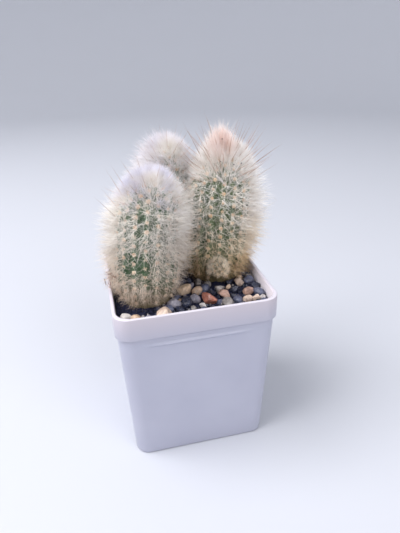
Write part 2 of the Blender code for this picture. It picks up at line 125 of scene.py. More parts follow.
# %% Helpers for finishes
def colour(red, green, blue):
    """A colour picker's 0 to 255 values as linear red, green, blue and alpha."""
    def linear(value):
        share = value / 255
        return share / 12.92 if share <= 0.04045 else ((share + 0.055) / 1.055) ** 2.4
    return (linear(red), linear(green), linear(blue), 1.0)


def new_finish(name, roughness, specular):
    """A Principled material: the material, its node tree and its shader."""
    material = bpy.data.materials.new(name)
    material.use_nodes = True
    tree = material.node_tree
    shader = tree.nodes["Principled BSDF"]
    shader.inputs["Roughness"].default_value = roughness
    shader.inputs["Specular IOR Level"].default_value = specular
    return material, tree, shader


def place_socket(tree):
    """The Object coordinates of the texture nodes."""
    return tree.nodes.new("ShaderNodeTexCoord").outputs["Object"]


def height_socket(tree, place):
    """The height in the Object coordinates, in metres."""
    node = tree.nodes.new("ShaderNodeSeparateXYZ")
    tree.links.new(place, node.inputs["Vector"])
    return node.outputs["Z"]


def attribute_socket(tree, name):
    """A number that the mesh's points store."""
    node = tree.nodes.new("ShaderNodeAttribute")
    node.attribute_name = name
    return node.outputs["Fac"]


def noise_socket(tree, place, per_metre, detail=3.0, rough=0.55):
    """Noise from 0 to 1 with so many lumps to a metre."""
    node = tree.nodes.new("ShaderNodeTexNoise")
    node.inputs["Scale"].default_value = per_metre
    node.inputs["Detail"].default_value = detail
    node.inputs["Roughness"].default_value = rough
    tree.links.new(place, node.inputs["Vector"])
    return node.outputs["Fac"]


def ramp_socket(tree, factor, stops, steps=False):
    """A colour ramp over a factor: stops are (position, colour)."""
    node = tree.nodes.new("ShaderNodeValToRGB")
    ramp = node.color_ramp
    ramp.interpolation = "CONSTANT" if steps else "LINEAR"
    while len(ramp.elements) < len(stops):
        ramp.elements.new(0.5)
    for element, (position, tint) in zip(ramp.elements, stops):
        element.position = position
        element.color = tint
    tree.links.new(factor, node.inputs["Fac"])
    return node.outputs["Color"]


def mix_socket(tree, factor, first, second, mode="MIX"):
    """Two colours mixed by a factor, which may be a socket or a number."""
    node = tree.nodes.new("ShaderNodeMix")
    node.data_type = "RGBA"
    node.blend_type = mode
    inputs = {"Factor": factor, "A": first, "B": second}
    for item in node.inputs:
        if not item.enabled or item.name not in inputs:
            continue
        value = inputs[item.name]
        if isinstance(value, bpy.types.NodeSocket):
            tree.links.new(value, item)
        else:
            item.default_value = value
    return next(item for item in node.outputs if item.enabled)


def math_socket(tree, operation, first, second):
    """One step of arithmetic on sockets or numbers."""
    node = tree.nodes.new("ShaderNodeMath")
    node.operation = operation
    for item, value in zip(node.inputs, (first, second)):
        if isinstance(value, bpy.types.NodeSocket):
            tree.links.new(value, item)
        else:
            item.default_value = value
    return node.outputs["Value"]


def spread_socket(tree, factor, low, high, new_low=0.0, new_high=1.0):
    """A factor's range low to high, spread over a new range and kept inside it."""
    node = tree.nodes.new("ShaderNodeMapRange")
    for name, value in (("From Min", low), ("From Max", high), ("To Min", new_low), ("To Max", new_high)):
        node.inputs[name].default_value = value
    tree.links.new(factor, node.inputs["Value"])
    return node.outputs["Result"]


def add_bump(tree, shader, height, distance, strength):
    """Relief from a height socket. Distance is in metres."""
    node = tree.nodes.new("ShaderNodeBump")
    node.inputs["Distance"].default_value = distance
    node.inputs["Strength"].default_value = strength
    tree.links.new(height, node.inputs["Height"])
    tree.links.new(node.outputs["Normal"], shader.inputs["Normal"])


# %% [markdown]
# ## Floor and light
#
# A photographer stands a small plant in a white sweep, a floor that curves up into a wall, so that no edge
# shows behind it. Ours is the same all round, because the plant is looked at from every side: one profile,
# spun a full turn. The light is an overcast sky over the open top, a large lamp high on the left, and a
# weaker, warmer one in front, which fills the shade between the hairs. A faint one low on the left warms the
# pot's left corner. Large lamps give soft shadows.

# %% Floor that curves up into a wall
SWEEP_FLAT = 0.9
SWEEP_CURVE = 0.5
SWEEP_WALL = 1.1
SWEEP_STEPS = 8
SWEEP_SIDES = 64


def sweep_profile():
    """Points of the sweep, from its middle to the top of its wall."""
    yield Vector((0, 0, 0))
    yield Vector((SWEEP_FLAT, 0, 0))
    for step in range(1, SWEEP_STEPS + 1):
        angle = math.pi / 2 * step / SWEEP_STEPS
        yield Vector((SWEEP_FLAT + SWEEP_CURVE * math.sin(angle), 0, SWEEP_CURVE * (1 - math.cos(angle))))
    yield Vector((SWEEP_FLAT + SWEEP_CURVE, 0, SWEEP_WALL))


bm = bmesh.new()
points = [bm.verts.new(point) for point in sweep_profile()]
edges = [bm.edges.new(pair) for pair in zip(points, points[1:])]
bmesh.ops.spin(
    bm, geom=points + edges, cent=(0, 0, 0), axis=(0, 0, 1), angle=math.tau,
    steps=SWEEP_SIDES, use_merge=True,
)
bmesh.ops.remove_doubles(bm, verts=bm.verts[:], dist=0.01 * MM)
bmesh.ops.recalc_face_normals(bm, faces=bm.faces[:])
if bm.faces[:][0].normal.z < 0:
    bmesh.ops.reverse_faces(bm, faces=bm.faces[:])
mesh = to_mesh("floor", bm)
mesh.shade_smooth()
floor = add_object("floor", mesh)
material, tree, shader = new_finish("floor", 0.8, 0.2)
shader.inputs["Base Color"].default_value = colour(190, 193, 202)
mesh.materials.append(material)
print("floor:", 2 * (SWEEP_FLAT + SWEEP_CURVE), "m wide")

# %% Sky and lamps
SKY_COLOUR = (0.97, 0.98, 1.0)
SKY_STRENGTH = 0.75
KEY_POWER = 11.0
FRONT_POWER = 3.7
SIDE_POWER = 0.45

world = bpy.data.worlds.new("sky")
world.use_nodes = True
sky = world.node_tree.nodes["Background"]
sky.inputs["Color"].default_value = (*SKY_COLOUR, 1.0)
sky.inputs["Strength"].default_value = SKY_STRENGTH
bpy.context.scene.world = world
bpy.context.scene.view_settings.view_transform = "Standard"


def add_lamp(name, place, target, size, power, tint):
    """A square area lamp that faces a target."""
    data = bpy.data.lights.new(name, "AREA")
    data.size = size
    data.energy = power
    data.color = tint
    lamp = add_object(name, data)
    lamp.location = place
    lamp.rotation_euler = (Vector(target) - Vector(place)).to_track_quat("-Z", "Y").to_euler()
    print(f"{name} lamp: {power} W, {lamp.location.length:.2f} m away")


add_lamp("key", (-0.52, -0.02, 0.78), (0, 0, 0.08), 0.7, KEY_POWER, (1.0, 0.985, 0.98))
add_lamp("front", (0.34, -0.7, 0.62), (0, 0, 0.09), 0.6, FRONT_POWER, (1.0, 0.975, 0.94))
add_lamp("side", (-0.75, -0.32, 0.2), (0, 0, 0.05), 0.4, SIDE_POWER, (1.0, 0.78, 0.66))

# %% [markdown]
# ## Pot
#
# The real pot is moulded in one piece: a thin tapered wall with rounded corners, a straight band round the
# rim that stands a little proud, and a shallow stiffening bead below it. It could be drawn as a box with
# bevels, but then every edge's rounding fights with the next one. It is simpler to follow the mould: one
# flat plate with round corners is extruded again and again, ring by ring, along the outline of the wall, up
# the outside, over the lip and down the inside. The rounded edges are just rings that lie on small arcs.
# Points that lie along the bead are then pushed out, and a Boolean cuts the drain holes.

# %% Sizes of the pot
pot_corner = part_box("pot")[1]
POT_HEIGHT = pot_corner.z
RIM_HALF = pot_corner.x
BASE_HALF = RIM_HALF * 0.88
BAND_FOOT = POT_HEIGHT - 9.1 * MM
BAND_STEP = 0.8 * MM
BAND_ROUND = 0.55 * MM
BASE_ROUND = 0.9 * MM
CORNER_RADIUS = 5.8 * MM
CORNER_SEGMENTS = 10
SIDE_CUTS = 27
LIP_WIDTH = 1.25 * MM
LIP_ROUND = 0.42 * MM
FLOOR_TOP = 1.6 * MM
INNER_BASE_HALF = BASE_HALF - 1.3 * MM
BEAD_HEIGHT = POT_HEIGHT - 12.2 * MM
BEAD_HALF_WIDTH = 1.05 * MM
BEAD_HALF_LENGTH = 20 * MM
BEAD_RISE = 0.5 * MM
BEAD_FADE = 5 * MM
print("rim", round(2 * RIM_HALF / MM, 1), "mm wide, pot", round(POT_HEIGHT / MM, 1), "mm high")


def inner_half(height):
    """Half-width of the pot's inside at a height."""
    share = (height - FLOOR_TOP) / (POT_HEIGHT - FLOOR_TOP)
    return INNER_BASE_HALF + (RIM_HALF - LIP_WIDTH - INNER_BASE_HALF) * share


def outer_half(height):
    """Half-width of the tapered wall's outside at a height."""
    return BASE_HALF + (RIM_HALF - BAND_STEP - BASE_HALF) * height / BAND_FOOT


# %% Outline of the wall
# heights in mm of the plain rings outside and inside, and the number of rings on half the bead
OUTSIDE_RINGS = (8, 18, 28, 38, 46, 51)
INSIDE_RINGS = (60, 40, 20, 3)
BEAD_RINGS = 5


def arc(half, height, radius, start, end, steps):
    """Points on an arc of the outline, by angles in degrees: 0 points outwards and 90 up."""
    for step in range(steps + 1):
        angle = math.radians(start + (end - start) * step / steps)
        yield half + radius * math.cos(angle), height + radius * math.sin(angle)


def wall_outline():
    """The wall's outline from its foot, up the outside, over the lip and down to the floor."""
    outline = list(arc(BASE_HALF - BASE_ROUND, BASE_ROUND, BASE_ROUND, -90, 0, 5))
    outline += [(outer_half(height * MM), height * MM) for height in OUTSIDE_RINGS]
    for step in range(-BEAD_RINGS - 1, BEAD_RINGS + 2):
        height = BEAD_HEIGHT + BEAD_HALF_WIDTH * step / BEAD_RINGS
        outline.append((outer_half(height), height))
    outline.append((outer_half(BAND_FOOT - 2 * BAND_ROUND), BAND_FOOT - 2 * BAND_ROUND))
    outline.append((outer_half(BAND_FOOT) + 0.02 * MM, BAND_FOOT - 0.5 * BAND_ROUND))
    outline += arc(RIM_HALF - BAND_ROUND, BAND_FOOT + BAND_ROUND, BAND_ROUND, -80, 0, 4)
    outline.append((RIM_HALF, (BAND_FOOT + POT_HEIGHT) / 2))
    outline += arc(RIM_HALF - LIP_ROUND, POT_HEIGHT - LIP_ROUND, LIP_ROUND, 0, 90, 4)
    outline += arc(RIM_HALF - LIP_WIDTH + LIP_ROUND, POT_HEIGHT - LIP_ROUND, LIP_ROUND, 90, 180, 4)
    outline += [(inner_half(height * MM), height * MM) for height in INSIDE_RINGS]
    outline.append((INNER_BASE_HALF - 0.8 * MM, FLOOR_TOP))
    return outline


# %% Rings of the wall
def round_plate(bm, half, corner, height):
    """A square face with round corners, its straight sides cut into short edges."""
    made = bmesh.ops.create_grid(bm, x_segments=1, y_segments=1, size=half)
    bmesh.ops.translate(bm, verts=made["verts"], vec=(0, 0, height))
    bmesh.ops.bevel(
        bm, geom=made["verts"], offset=corner, offset_type="OFFSET", affect="VERTICES",
        segments=CORNER_SEGMENTS, profile=0.5, material=-1,
    )
    straight = [edge for edge in bm.edges if edge.calc_length() > half]
    bmesh.ops.subdivide_edges(bm, edges=straight, cuts=SIDE_CUTS)
    return bm.faces[:][0]


def extrude_cap(bm, cap):
    """Extrude one face and return the new cap. The old one goes, except under the first."""
    made = bmesh.ops.extrude_face_region(bm, geom=[cap])["geom"]
    if all(len(edge.link_faces) > 2 for edge in cap.edges):
        bmesh.ops.delete(bm, geom=[cap], context="FACES_ONLY")
    return next(item for item in made if isinstance(item, bmesh.types.BMFace))


def raise_plate(bm, cap, half, height):
    """Extrude the cap to a new half-width and height."""
    cap = extrude_cap(bm, cap)
    size = half / max(vert.co.x for vert in cap.verts)
    for vert in cap.verts:
        vert.co = (vert.co.x * size, vert.co.y * size, height)
    return cap


def pot_wall():
    """The wall and floor. Its points store a number, 0 outside, a half on the lip and 1 past it."""
    bm = bmesh.new()
    layer = bm.verts.layers.float.new("inside")
    outline = wall_outline()
    half, height = outline[0]
    cap = round_plate(bm, half, CORNER_RADIUS - BASE_ROUND, height)
    past_lip = 0.0
    for half, height in outline[1:]:
        cap = raise_plate(bm, cap, half, height)
        on_top = height > POT_HEIGHT - 0.2 * MM
        past_lip = max(past_lip, 0.5 * on_top)
        if past_lip and not on_top:
            past_lip = 1.0
        for vert in cap.verts:
            vert[layer] = past_lip
    return bm


# %% Bead and drain holes
DRAIN_RADIUS = 1.75 * MM
DRAIN_OFFSET = 13 * MM
DRAIN_SEGMENTS = 24


def raise_bead(bm):
    """Push the wall's points out along a low bead that fades at both ends."""
    for vert in bm.verts:
        across = abs(vert.co.z - BEAD_HEIGHT) / BEAD_HALF_WIDTH
        aside, along = sorted((abs(vert.co.x), abs(vert.co.y)), reverse=True)
        on_outside = aside > (inner_half(vert.co.z) + outer_half(vert.co.z)) / 2
        if across >= 1 or along >= BEAD_HALF_LENGTH or not on_outside:
            continue
        fade = min(1.0, (BEAD_HALF_LENGTH - along) / BEAD_FADE)
        rise = BEAD_RISE * fade * fade * (3 - 2 * fade) * (1 - across * across) ** 2
        if abs(vert.co.x) > abs(vert.co.y):
            vert.co.x += math.copysign(rise, vert.co.x)
        else:
            vert.co.y += math.copysign(rise, vert.co.y)


def cut_drains(pot):
    """Cut four round holes through the pot's floor."""
    bm = bmesh.new()
    for x, y in ((-1, -1), (-1, 1), (1, -1), (1, 1)):
        bmesh.ops.create_cone(
            bm, cap_ends=True, segments=DRAIN_SEGMENTS, radius1=DRAIN_RADIUS, radius2=DRAIN_RADIUS,
            depth=4 * FLOOR_TOP, matrix=Matrix.Translation((x * DRAIN_OFFSET, y * DRAIN_OFFSET, 0)),
        )
    mesh = to_mesh("drains", bm)
    cutter = add_object("drains", mesh)
    change = pot.modifiers.new("drains", "BOOLEAN")
    change.operation = "DIFFERENCE"
    change.object = cutter
    graph = bpy.context.evaluated_depsgraph_get()
    cut = bpy.data.meshes.new_from_object(pot.evaluated_get(graph))
    pot.modifiers.clear()
    whole = pot.data
    pot.data = cut
    bpy.data.meshes.remove(whole)
    bpy.data.objects.remove(cutter, do_unlink=True)
    bpy.data.meshes.remove(mesh)


# %% [markdown]
# The plastic is white; the cool cast of the wall is painted bluish bounce light. Moulded plastic is never
# quite even, so broad, faint noise shifts its colour and its gloss, and very fine noise gives it the skin of
# a mould. The band is painted a little warmer and lighter than the wall below it: painted warm light. The
# thin lip is paler, a painted highlight, and the inside is paler with painted light, as of light that comes
# through the wall: the number that the pot's points store tells them apart.

# %% Finish of the pot
def plastic_finish():
    """White plastic, with painted bluish bounce light on the wall, painted warm light on the band and
    painted light on the lip and inside.
    """
    material, tree, shader = new_finish("white_plastic", 0.4, 0.45)
    place = place_socket(tree)
    broad = noise_socket(tree, place, 45.0, detail=2.0)
    # the wall's cool cast is painted bluish bounce light
    wall = ramp_socket(tree, broad, ((0.3, colour(171, 173, 190)), (0.7, colour(177, 179, 195))))
    up = spread_socket(tree, height_socket(tree, place), BAND_FOOT - 2 * MM, POT_HEIGHT)
    # the band's warmer, lighter colour is painted warm light
    outside = mix_socket(tree, up, wall, colour(191, 184, 193))
    inside = attribute_socket(tree, "inside")
    on_lip = spread_socket(tree, inside, 0.0, 0.5)
    past_lip = spread_socket(tree, inside, 0.5, 1.0)
    # the paler lip is a painted highlight
    lip_highlighted = mix_socket(tree, on_lip, outside, colour(202, 198, 210))
    # the pale inside is painted light, as of light that comes through the wall
    tree.links.new(mix_socket(tree, past_lip, lip_highlighted, colour(252, 246, 255)), shader.inputs["Base Color"])
    patches = noise_socket(tree, place, 240.0, detail=4.0)
    tree.links.new(spread_socket(tree, patches, 0.3, 0.75, 0.34, 0.5), shader.inputs["Roughness"])
    add_bump(tree, shader, noise_socket(tree, place, 2600.0, detail=2.0), 0.02 * MM, 0.5)
    return material


bm = pot_wall()
raise_bead(bm)
bmesh.ops.recalc_face_normals(bm, faces=bm.faces[:])
pot = add_piece("pot_shell", bm, plastic_finish(), "pot", smooth_angle=50)
cut_drains(pot)

# %% [markdown]
# ## Soil
#
# Under the stones lies peat-dark potting soil, and it shows bare at the front left. Its top could be a flat
# face with a bump map, but crumbs cast shadows on each other. So the top is a fine grid, pressed up and down
# by noise, whose edge is extruded down to fill the pot, and loose crumbs lie on the bare patch. Its colour
# is a ramp over fine noise, from nearly black to the grey of a dry crumb.

# %% Block of soil
SOIL_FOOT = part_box("soil")[0].z
SOIL_RELIEF = 0.45 * MM
SOIL_LUMPS_PER_METRE = 420.0
SOIL_SEED = Vector((3.0, 0.0, 0.0))
SOIL_EDGE = 2 * MM
BED_HEIGHT = 61.6 * MM
BED_CELLS = 80
BED_CORNER = 4.4 * MM
WALL_GAP = 0.2 * MM


def round_corner(x, y, half, corner):
    """Move a point of a square into the same square with round corners."""
    aside = abs(x) - (half - corner)
    along = abs(y) - (half - corner)
    if aside <= 0 or along <= 0:
        return x, y
    share = max(aside, along) / math.hypot(aside, along)
    return (
        math.copysign(half - corner + aside * share, x),
        math.copysign(half - corner + along * share, y),
    )


def soil_relief(x, y):
    """How far the crumbly soil rises above its bed at a place, by layered noise."""
    return SOIL_RELIEF * noise.fractal(Vector((x, y, 0)) * SOIL_LUMPS_PER_METRE + SOIL_SEED, 0.8, 2.1, 4)


def soil_block():
    """The soil, crumbly on top, flat round its edge, and tapered like the pot."""
    bm = bmesh.new()
    half = inner_half(BED_HEIGHT) - WALL_GAP
    bmesh.ops.create_grid(bm, x_segments=BED_CELLS, y_segments=BED_CELLS, size=half)
    for vert in bm.verts:
        x, y = round_corner(vert.co.x, vert.co.y, half, BED_CORNER)
        inside = min(1.0, (half - max(abs(x), abs(y))) / SOIL_EDGE)
        vert.co = (x, y, BED_HEIGHT + soil_relief(x, y) * inside)
    rim = [edge for edge in bm.edges if edge.is_boundary]
    made = bmesh.ops.extrude_edge_only(bm, edges=rim)["geom"]
    shrink = (inner_half(SOIL_FOOT) - WALL_GAP) / half
    for item in made:
        if isinstance(item, bmesh.types.BMVert):
            item.co = (item.co.x * shrink, item.co.y * shrink, SOIL_FOOT)
    foot = [item for item in made if isinstance(item, bmesh.types.BMEdge)]
    bmesh.ops.contextual_create(bm, geom=foot)
    bmesh.ops.recalc_face_normals(bm, faces=bm.faces[:])
    return bm


# %% Finish of the soil
def soil_finish():
    """Dark soil with paler, dry crumbs."""
    material, tree, shader = new_finish("dark_soil", 0.9, 0.3)
    place = place_socket(tree)
    lumps = noise_socket(tree, place, 900.0, detail=5.0, rough=0.65)
    stops = ((0.3, colour(12, 14, 34)), (0.55, colour(28, 31, 58)), (0.78, colour(70, 73, 104)))
    tree.links.new(ramp_socket(tree, lumps, stops), shader.inputs["Base Color"])
    add_bump(tree, shader, noise_socket(tree, place, 2200.0, detail=4.0), 0.25 * MM, 0.8)
    return material


dark_soil = soil_finish()
add_piece("soil_fill", soil_block(), dark_soil, "soil", smooth_angle=180)

# %% [markdown]
# ## Stones
#
# The top dressing is a mix of small river stones and chips: black and dark grey ones, tan and pale ones,
# one red-brown. A stone is a ball that was worn. A rounded one needs only soft noise, and a chip gets flat
# faces, where points that stick out past a random plane are pressed back onto it. The stones that show in
# front are listed one by one, the rest fall in by seeded draws that keep off their neighbours, and grit
# fills the gaps.
#
# All stones are one piece. Each stone's colour is a number stored in its points, called shade, and the
# finish turns that number into a colour with a stepped ramp.

# %% Table of stones
# x, y and width in millimetres, then the colour and whether the stone is a chip
Stone = namedtuple("Stone", "x y width shade chip")
FRONT_STONES = (
    # this stone's cream is partly its own pale colour, partly painted light against the shadow of the left
    # stem's fur
    Stone(-2.0, -8.6, 6.2, "cream", True),
    Stone(3.3, -10.0, 4.0, "tan", False),
    Stone(6.8, -8.4, 3.8, "dark", False),
    Stone(5.9, -17.3, 6.1, "red", True),
    Stone(12.0, -11.1, 4.6, "olive", True),
    Stone(12.5, -15.3, 5.2, "rose", True),
    Stone(21.0, -8.1, 4.8, "sand", True),
    Stone(17.8, -12.6, 4.6, "black", True),
    Stone(22.2, -15.4, 4.0, "rose", False),
    Stone(25.3, -7.0, 4.2, "dark", False),
    Stone(26.4, -11.6, 3.6, "black", True),
    Stone(26.0, -16.8, 3.8, "dark", False),
    Stone(20.4, -20.5, 3.6, "sand", False),
    Stone(23.6, -20.7, 3.2, "sand", True),
    Stone(26.2, -20.6, 2.8, "pale", True),
    Stone(16.6, -20.2, 3.7, "dark", False),
    Stone(12.4, -21.3, 4.4, "olive", False),
    Stone(9.4, -19.6, 3.2, "dark", True),
    Stone(1.2, -15.7, 4.2, "grey", False),
    Stone(-2.4, -17.6, 4.6, "black", False),
    Stone(-7.0, -17.2, 4.6, "grey", False),
    Stone(-4.3, -15.0, 2.8, "tan", True),
    Stone(-11.9, -24.0, 5.4, "sand", False),
    Stone(-0.9, -22.9, 3.6, "olive", True),
    Stone(-5.4, -21.8, 4.2, "black", True),
    Stone(-25.3, -21.9, 3.7, "pale", False),
    Stone(-22.0, -23.5, 3.7, "tan", False),
    Stone(-17.4, -23.0, 3.0, "grey", True),
    Stone(3.0, -20.8, 3.2, "pale", True),
    Stone(2.0, -12.6, 2.8, "black", True),
    Stone(8.6, -12.8, 3.6, "black", True),
    Stone(16.4, -16.6, 2.6, "black", True),
    Stone(6.4, -22.6, 3.0, "black", True),
)
SHADES = {
    "black": colour(46, 51, 73),
    "dark": colour(93, 98, 123),
    "grey": colour(150, 147, 160),
    "olive": colour(158, 152, 149),
    "red": colour(184, 120, 102),
    "rose": colour(192, 156, 140),
    "tan": colour(208, 180, 156),
    "sand": colour(230, 206, 188),
    "pale": colour(222, 216, 213),
    # cream is paler than a tan stone: partly its own colour, partly painted light against the shadow of the
    # left stem's fur
    "cream": colour(255, 226, 196),
}
SHADE_NAMES = list(SHADES)


def shade_value(name):
    """The number that stands for a shade: the middle of its step in the ramp."""
    return (SHADE_NAMES.index(name) + 0.5) / len(SHADE_NAMES)


# %% One stone
STONE_CUTS = 3
STONE_SWELLING = 0.22
SWELLING_PITCH = 1.4
STONE_DENTS = 0.07
DENTS_PITCH = 3.6
CHIP_PLANES = 13
CHIP_REACHES = (0.5, 0.78)
CHIP_PRESS = 0.95


def new_layers(bm, *names):
    """Float layers on a bmesh's points, for the finishes to read."""
    return [bm.verts.layers.float.new(name) for name in names]


def stone_mesh(draw, shade, chip, subdivisions):
    """One worn stone, 2 units wide, as a mesh of its own."""
    bm = bmesh.new()
    layer, = new_layers(bm, "shade")
    bmesh.ops.create_icosphere(bm, subdivisions=subdivisions, radius=1.0)
    planes = []
    if chip:
        for _ in range(CHIP_PLANES):
            normal = Vector([draw.gauss(0, 1) for _ in range(3)]).normalized()
            planes.append((normal, draw.uniform(*CHIP_REACHES)))
    seed = Vector([draw.uniform(0, 50) for _ in range(3)])
    for vert in bm.verts:
        swelling = STONE_SWELLING * noise.noise(vert.co * SWELLING_PITCH + seed)
        dents = STONE_DENTS * noise.noise(vert.co * DENTS_PITCH + seed)
        vert.co *= 1 + swelling + dents
        for normal, reach in planes:
            vert.co -= normal * max(0.0, vert.co.dot(normal) - reach) * CHIP_PRESS
        vert[layer] = shade
    return to_mesh("stone", bm)


def drop_in(bm, mesh, place):
    """Add a mesh to a bmesh at a place, and leave the mesh as it was."""
    mesh.transform(place)
    bm.from_mesh(mesh)
    mesh.transform(place.inverted())


# %% [markdown]
# ## Form of the stems
#
# The stems' form has to be known before the stones can keep clear of them. A stem's axis rises straight
# from its foot and then leans, its radius grows from a narrow foot to the full width, and its top closes in
# a dome. The same few rules gave the frame its plain solids, so the finer pieces fit them.

# %% Form of the stems
# Places and sizes in millimetres: foot and lean are x and y, crown is the height of the dome's top
Stem = namedtuple("Stem", "name foot lean radius crown ribs seed")
STEMS = (
    Stem("left", (-15.5, -6.5), (4.6, 1.0), 11.0, 108.0, 18, 11),
    Stem("right", (15.0, 6.5), (4.4, 0.6), 11.6, 112.5, 18, 12),
    Stem("back", (-5.0, 17.0), (4.2, 0.5), 8.9, 114.0, 16, 13),
)
LEFT, RIGHT, BACK = STEMS
STEM_FOOT = 61.7 * MM
STEM_BEND = 1.6
WAIST = 0.84
WAIST_RISE = 0.3
DOME_START = 0.60
DOME_POWER = 2.2
RIB_DEPTH = 0.075


def up_share(stem, height):
    """How far up the stem a height is, from 0 at the foot to 1 at the crown."""
    return (height - STEM_FOOT) / (stem.crown * MM - STEM_FOOT)


def centre_line(stem, height):
    """The middle of the stem at a height."""
    drift = max(0.0, up_share(stem, height)) ** STEM_BEND
    x = stem.foot[0] + stem.lean[0] * drift
    y = stem.foot[1] + stem.lean[1] * drift
    return Vector((x * MM, y * MM, height))


def skin_radius(stem, height):
    """The stem's mean radius at a height."""
    full = stem.radius * MM
    share = up_share(stem, height)
    if share < WAIST_RISE:
        return full * (WAIST + (1 - WAIST) * math.sin(max(0.0, share) / WAIST_RISE * math.pi / 2))
    if share < DOME_START:
        return full
    up = min(1.0, (share - DOME_START) / (1 - DOME_START))
    return full * math.sqrt(max(0.0, 1 - up ** DOME_POWER))


def dome_height(stem, radius):
    """The height at which the dome has a radius."""
    up = max(0.0, 1 - (radius / (stem.radius * MM)) ** 2) ** (1 / DOME_POWER)
    dome = STEM_FOOT + (stem.crown * MM - STEM_FOOT) * DOME_START
    return dome + (stem.crown * MM - dome) * up


def outside_skin(stem, point):
    """About how far a point lies outside a stem."""
    height = min(max(point.z, STEM_FOOT), stem.crown * MM)
    centre = centre_line(stem, height)
    aside = math.hypot(point.x - centre.x, point.y - centre.y) - skin_radius(stem, height)
    return max(aside, point.z - stem.crown * MM)


# %% Places of the stones
PUP_CENTRE = Vector((12.9, -6.3, 69.3)) * MM
PUP_RADIUS = 3.1 * MM
PUP_ROOM = 0.8 * PUP_RADIUS
STEM_ROOM = 0.5 * MM
STONE_MIDDLE = BED_HEIGHT + 2 * MM
BARE_CENTRE = Vector((-20.0, -10.0)) * MM
BARE_RADIUS = 11.5 * MM
STONE_TRIES = 6000
STONE_REACH = 28.0
STONE_WIDTHS = (2.4, 4.4)
STONE_CROWD = 0.92
CHIP_SHARE = 0.6
FILL_SHADES = ("black", "black", "dark", "dark", "grey", "olive", "tan", "pale", "black", "rose", "dark")


def has_room(x, y, radius, placed, crowd):
    """True where a stone fits between the wall, the stems, the pup and the other stones."""
    half = inner_half(BED_HEIGHT)
    corner = half - BED_CORNER
    if max(abs(x), abs(y)) > half - radius:
        return False
    if math.hypot(max(0.0, abs(x) - corner), max(0.0, abs(y) - corner)) > BED_CORNER - radius * 0.8:
        return False
    if any(outside_skin(stem, Vector((x, y, STONE_MIDDLE))) < radius + STEM_ROOM for stem in STEMS):
        return False
    if math.hypot(x - PUP_CENTRE.x, y - PUP_CENTRE.y) < PUP_ROOM + radius:
        return False
    return all(math.hypot(x - other[0], y - other[1]) > crowd * (radius + other[2]) for other in placed)


def is_bare(x, y, margin=0.0):
    """True on the bare patch of soil, and at least a margin inside its edge."""
    return math.hypot(x - BARE_CENTRE.x, y - BARE_CENTRE.y) < BARE_RADIUS - margin


def fill_stones(draw, placed):
    """Stones that fall into the free places, as Stone rows."""
    rows = []
    for _ in range(STONE_TRIES):
        width = draw.uniform(*STONE_WIDTHS)
        x, y = draw.uniform(-STONE_REACH, STONE_REACH), draw.uniform(-STONE_REACH, STONE_REACH)
        here = (x * MM, y * MM, width / 2 * MM)
        if is_bare(x * MM, y * MM) or not has_room(*here, placed, STONE_CROWD):
            continue
        placed.append(here)
        rows.append(Stone(x, y, width, draw.choice(FILL_SHADES), draw.random() < CHIP_SHARE))
    return rows


# %% Bed of stones
STONE_SEED = 7
STONE_RISE = 0.48
STONE_SWELL = 1.07
STONE_STRETCH = ((1.0, 1.25), (0.78, 1.0), (0.64, 0.86))
STONE_TILT = 0.4


def stone_bed():
    """All stones in one bmesh: the ones placed by hand, and those that fell in between."""
    draw = random.Random(STONE_SEED)
    placed = [(stone.x * MM, stone.y * MM, stone.width / 2 * MM) for stone in FRONT_STONES]
    rows = list(FRONT_STONES) + fill_stones(draw, placed)
    bm = bmesh.new()
    new_layers(bm, "shade")
    for stone in rows:
        mesh = stone_mesh(draw, shade_value(stone.shade), stone.chip, STONE_CUTS)
        size = stone.width / 2 * MM * STONE_SWELL
        stretch = Vector([draw.uniform(*limits) for limits in STONE_STRETCH])
        turn = Matrix.Rotation(draw.uniform(0, math.tau), 4, "Z")
        tilt = Matrix.Rotation(draw.uniform(-STONE_TILT, STONE_TILT), 4, "X")
        where = Matrix.Translation((stone.x * MM, stone.y * MM, BED_HEIGHT + size * STONE_RISE))
        drop_in(bm, mesh, where @ turn @ tilt @ Matrix.Diagonal((*(stretch * size), 1)))
        bpy.data.meshes.remove(mesh)
    print("stones:", len(rows))
    return bm


# %% Grit between the stones
GRIT_COUNT = 1500
GRIT_WIDTHS = (0.7, 1.7)
GRIT_KINDS = 14
GRIT_SHADES = ("black", "black", "dark", "dark", "grey", "black", "olive")
GRIT_MARGIN = 0.5 * MM
CRUMB_COUNT = 700
CRUMB_WIDTHS = (0.35, 1.3)


def scatter(kinds, count, widths, seed, centre, reach, wanted):
    """Drop small lumps on a square of the bed, at random places that are wanted."""
    draw = random.Random(seed)
    bm = bmesh.new()
    new_layers(bm, "shade")
    for _ in range(count):
        x, y = centre.x + draw.uniform(-reach, reach), centre.y + draw.uniform(-reach, reach)
        radius = draw.uniform(*widths) / 2 * MM
        if not wanted(x, y) or not has_room(x, y, radius, (), 1.0):
            continue
        height = BED_HEIGHT + soil_relief(x, y) + 0.5 * radius
        angle = draw.uniform(0, math.tau)
        turn = Matrix.Rotation(angle, 4, (draw.random(), draw.random(), draw.random() + 0.01))
        place = Matrix.Translation((x, y, height)) @ turn @ Matrix.Scale(radius, 4)
        drop_in(bm, draw.choice(kinds), place)
    return bm


# %% [markdown]
# River stones are speckled and veined, and their gloss comes from wear. The finish mixes a coarse cloud,
# which darkens each stone in patches, with fine pale specks. The chips' grain is a bump of finer noise.

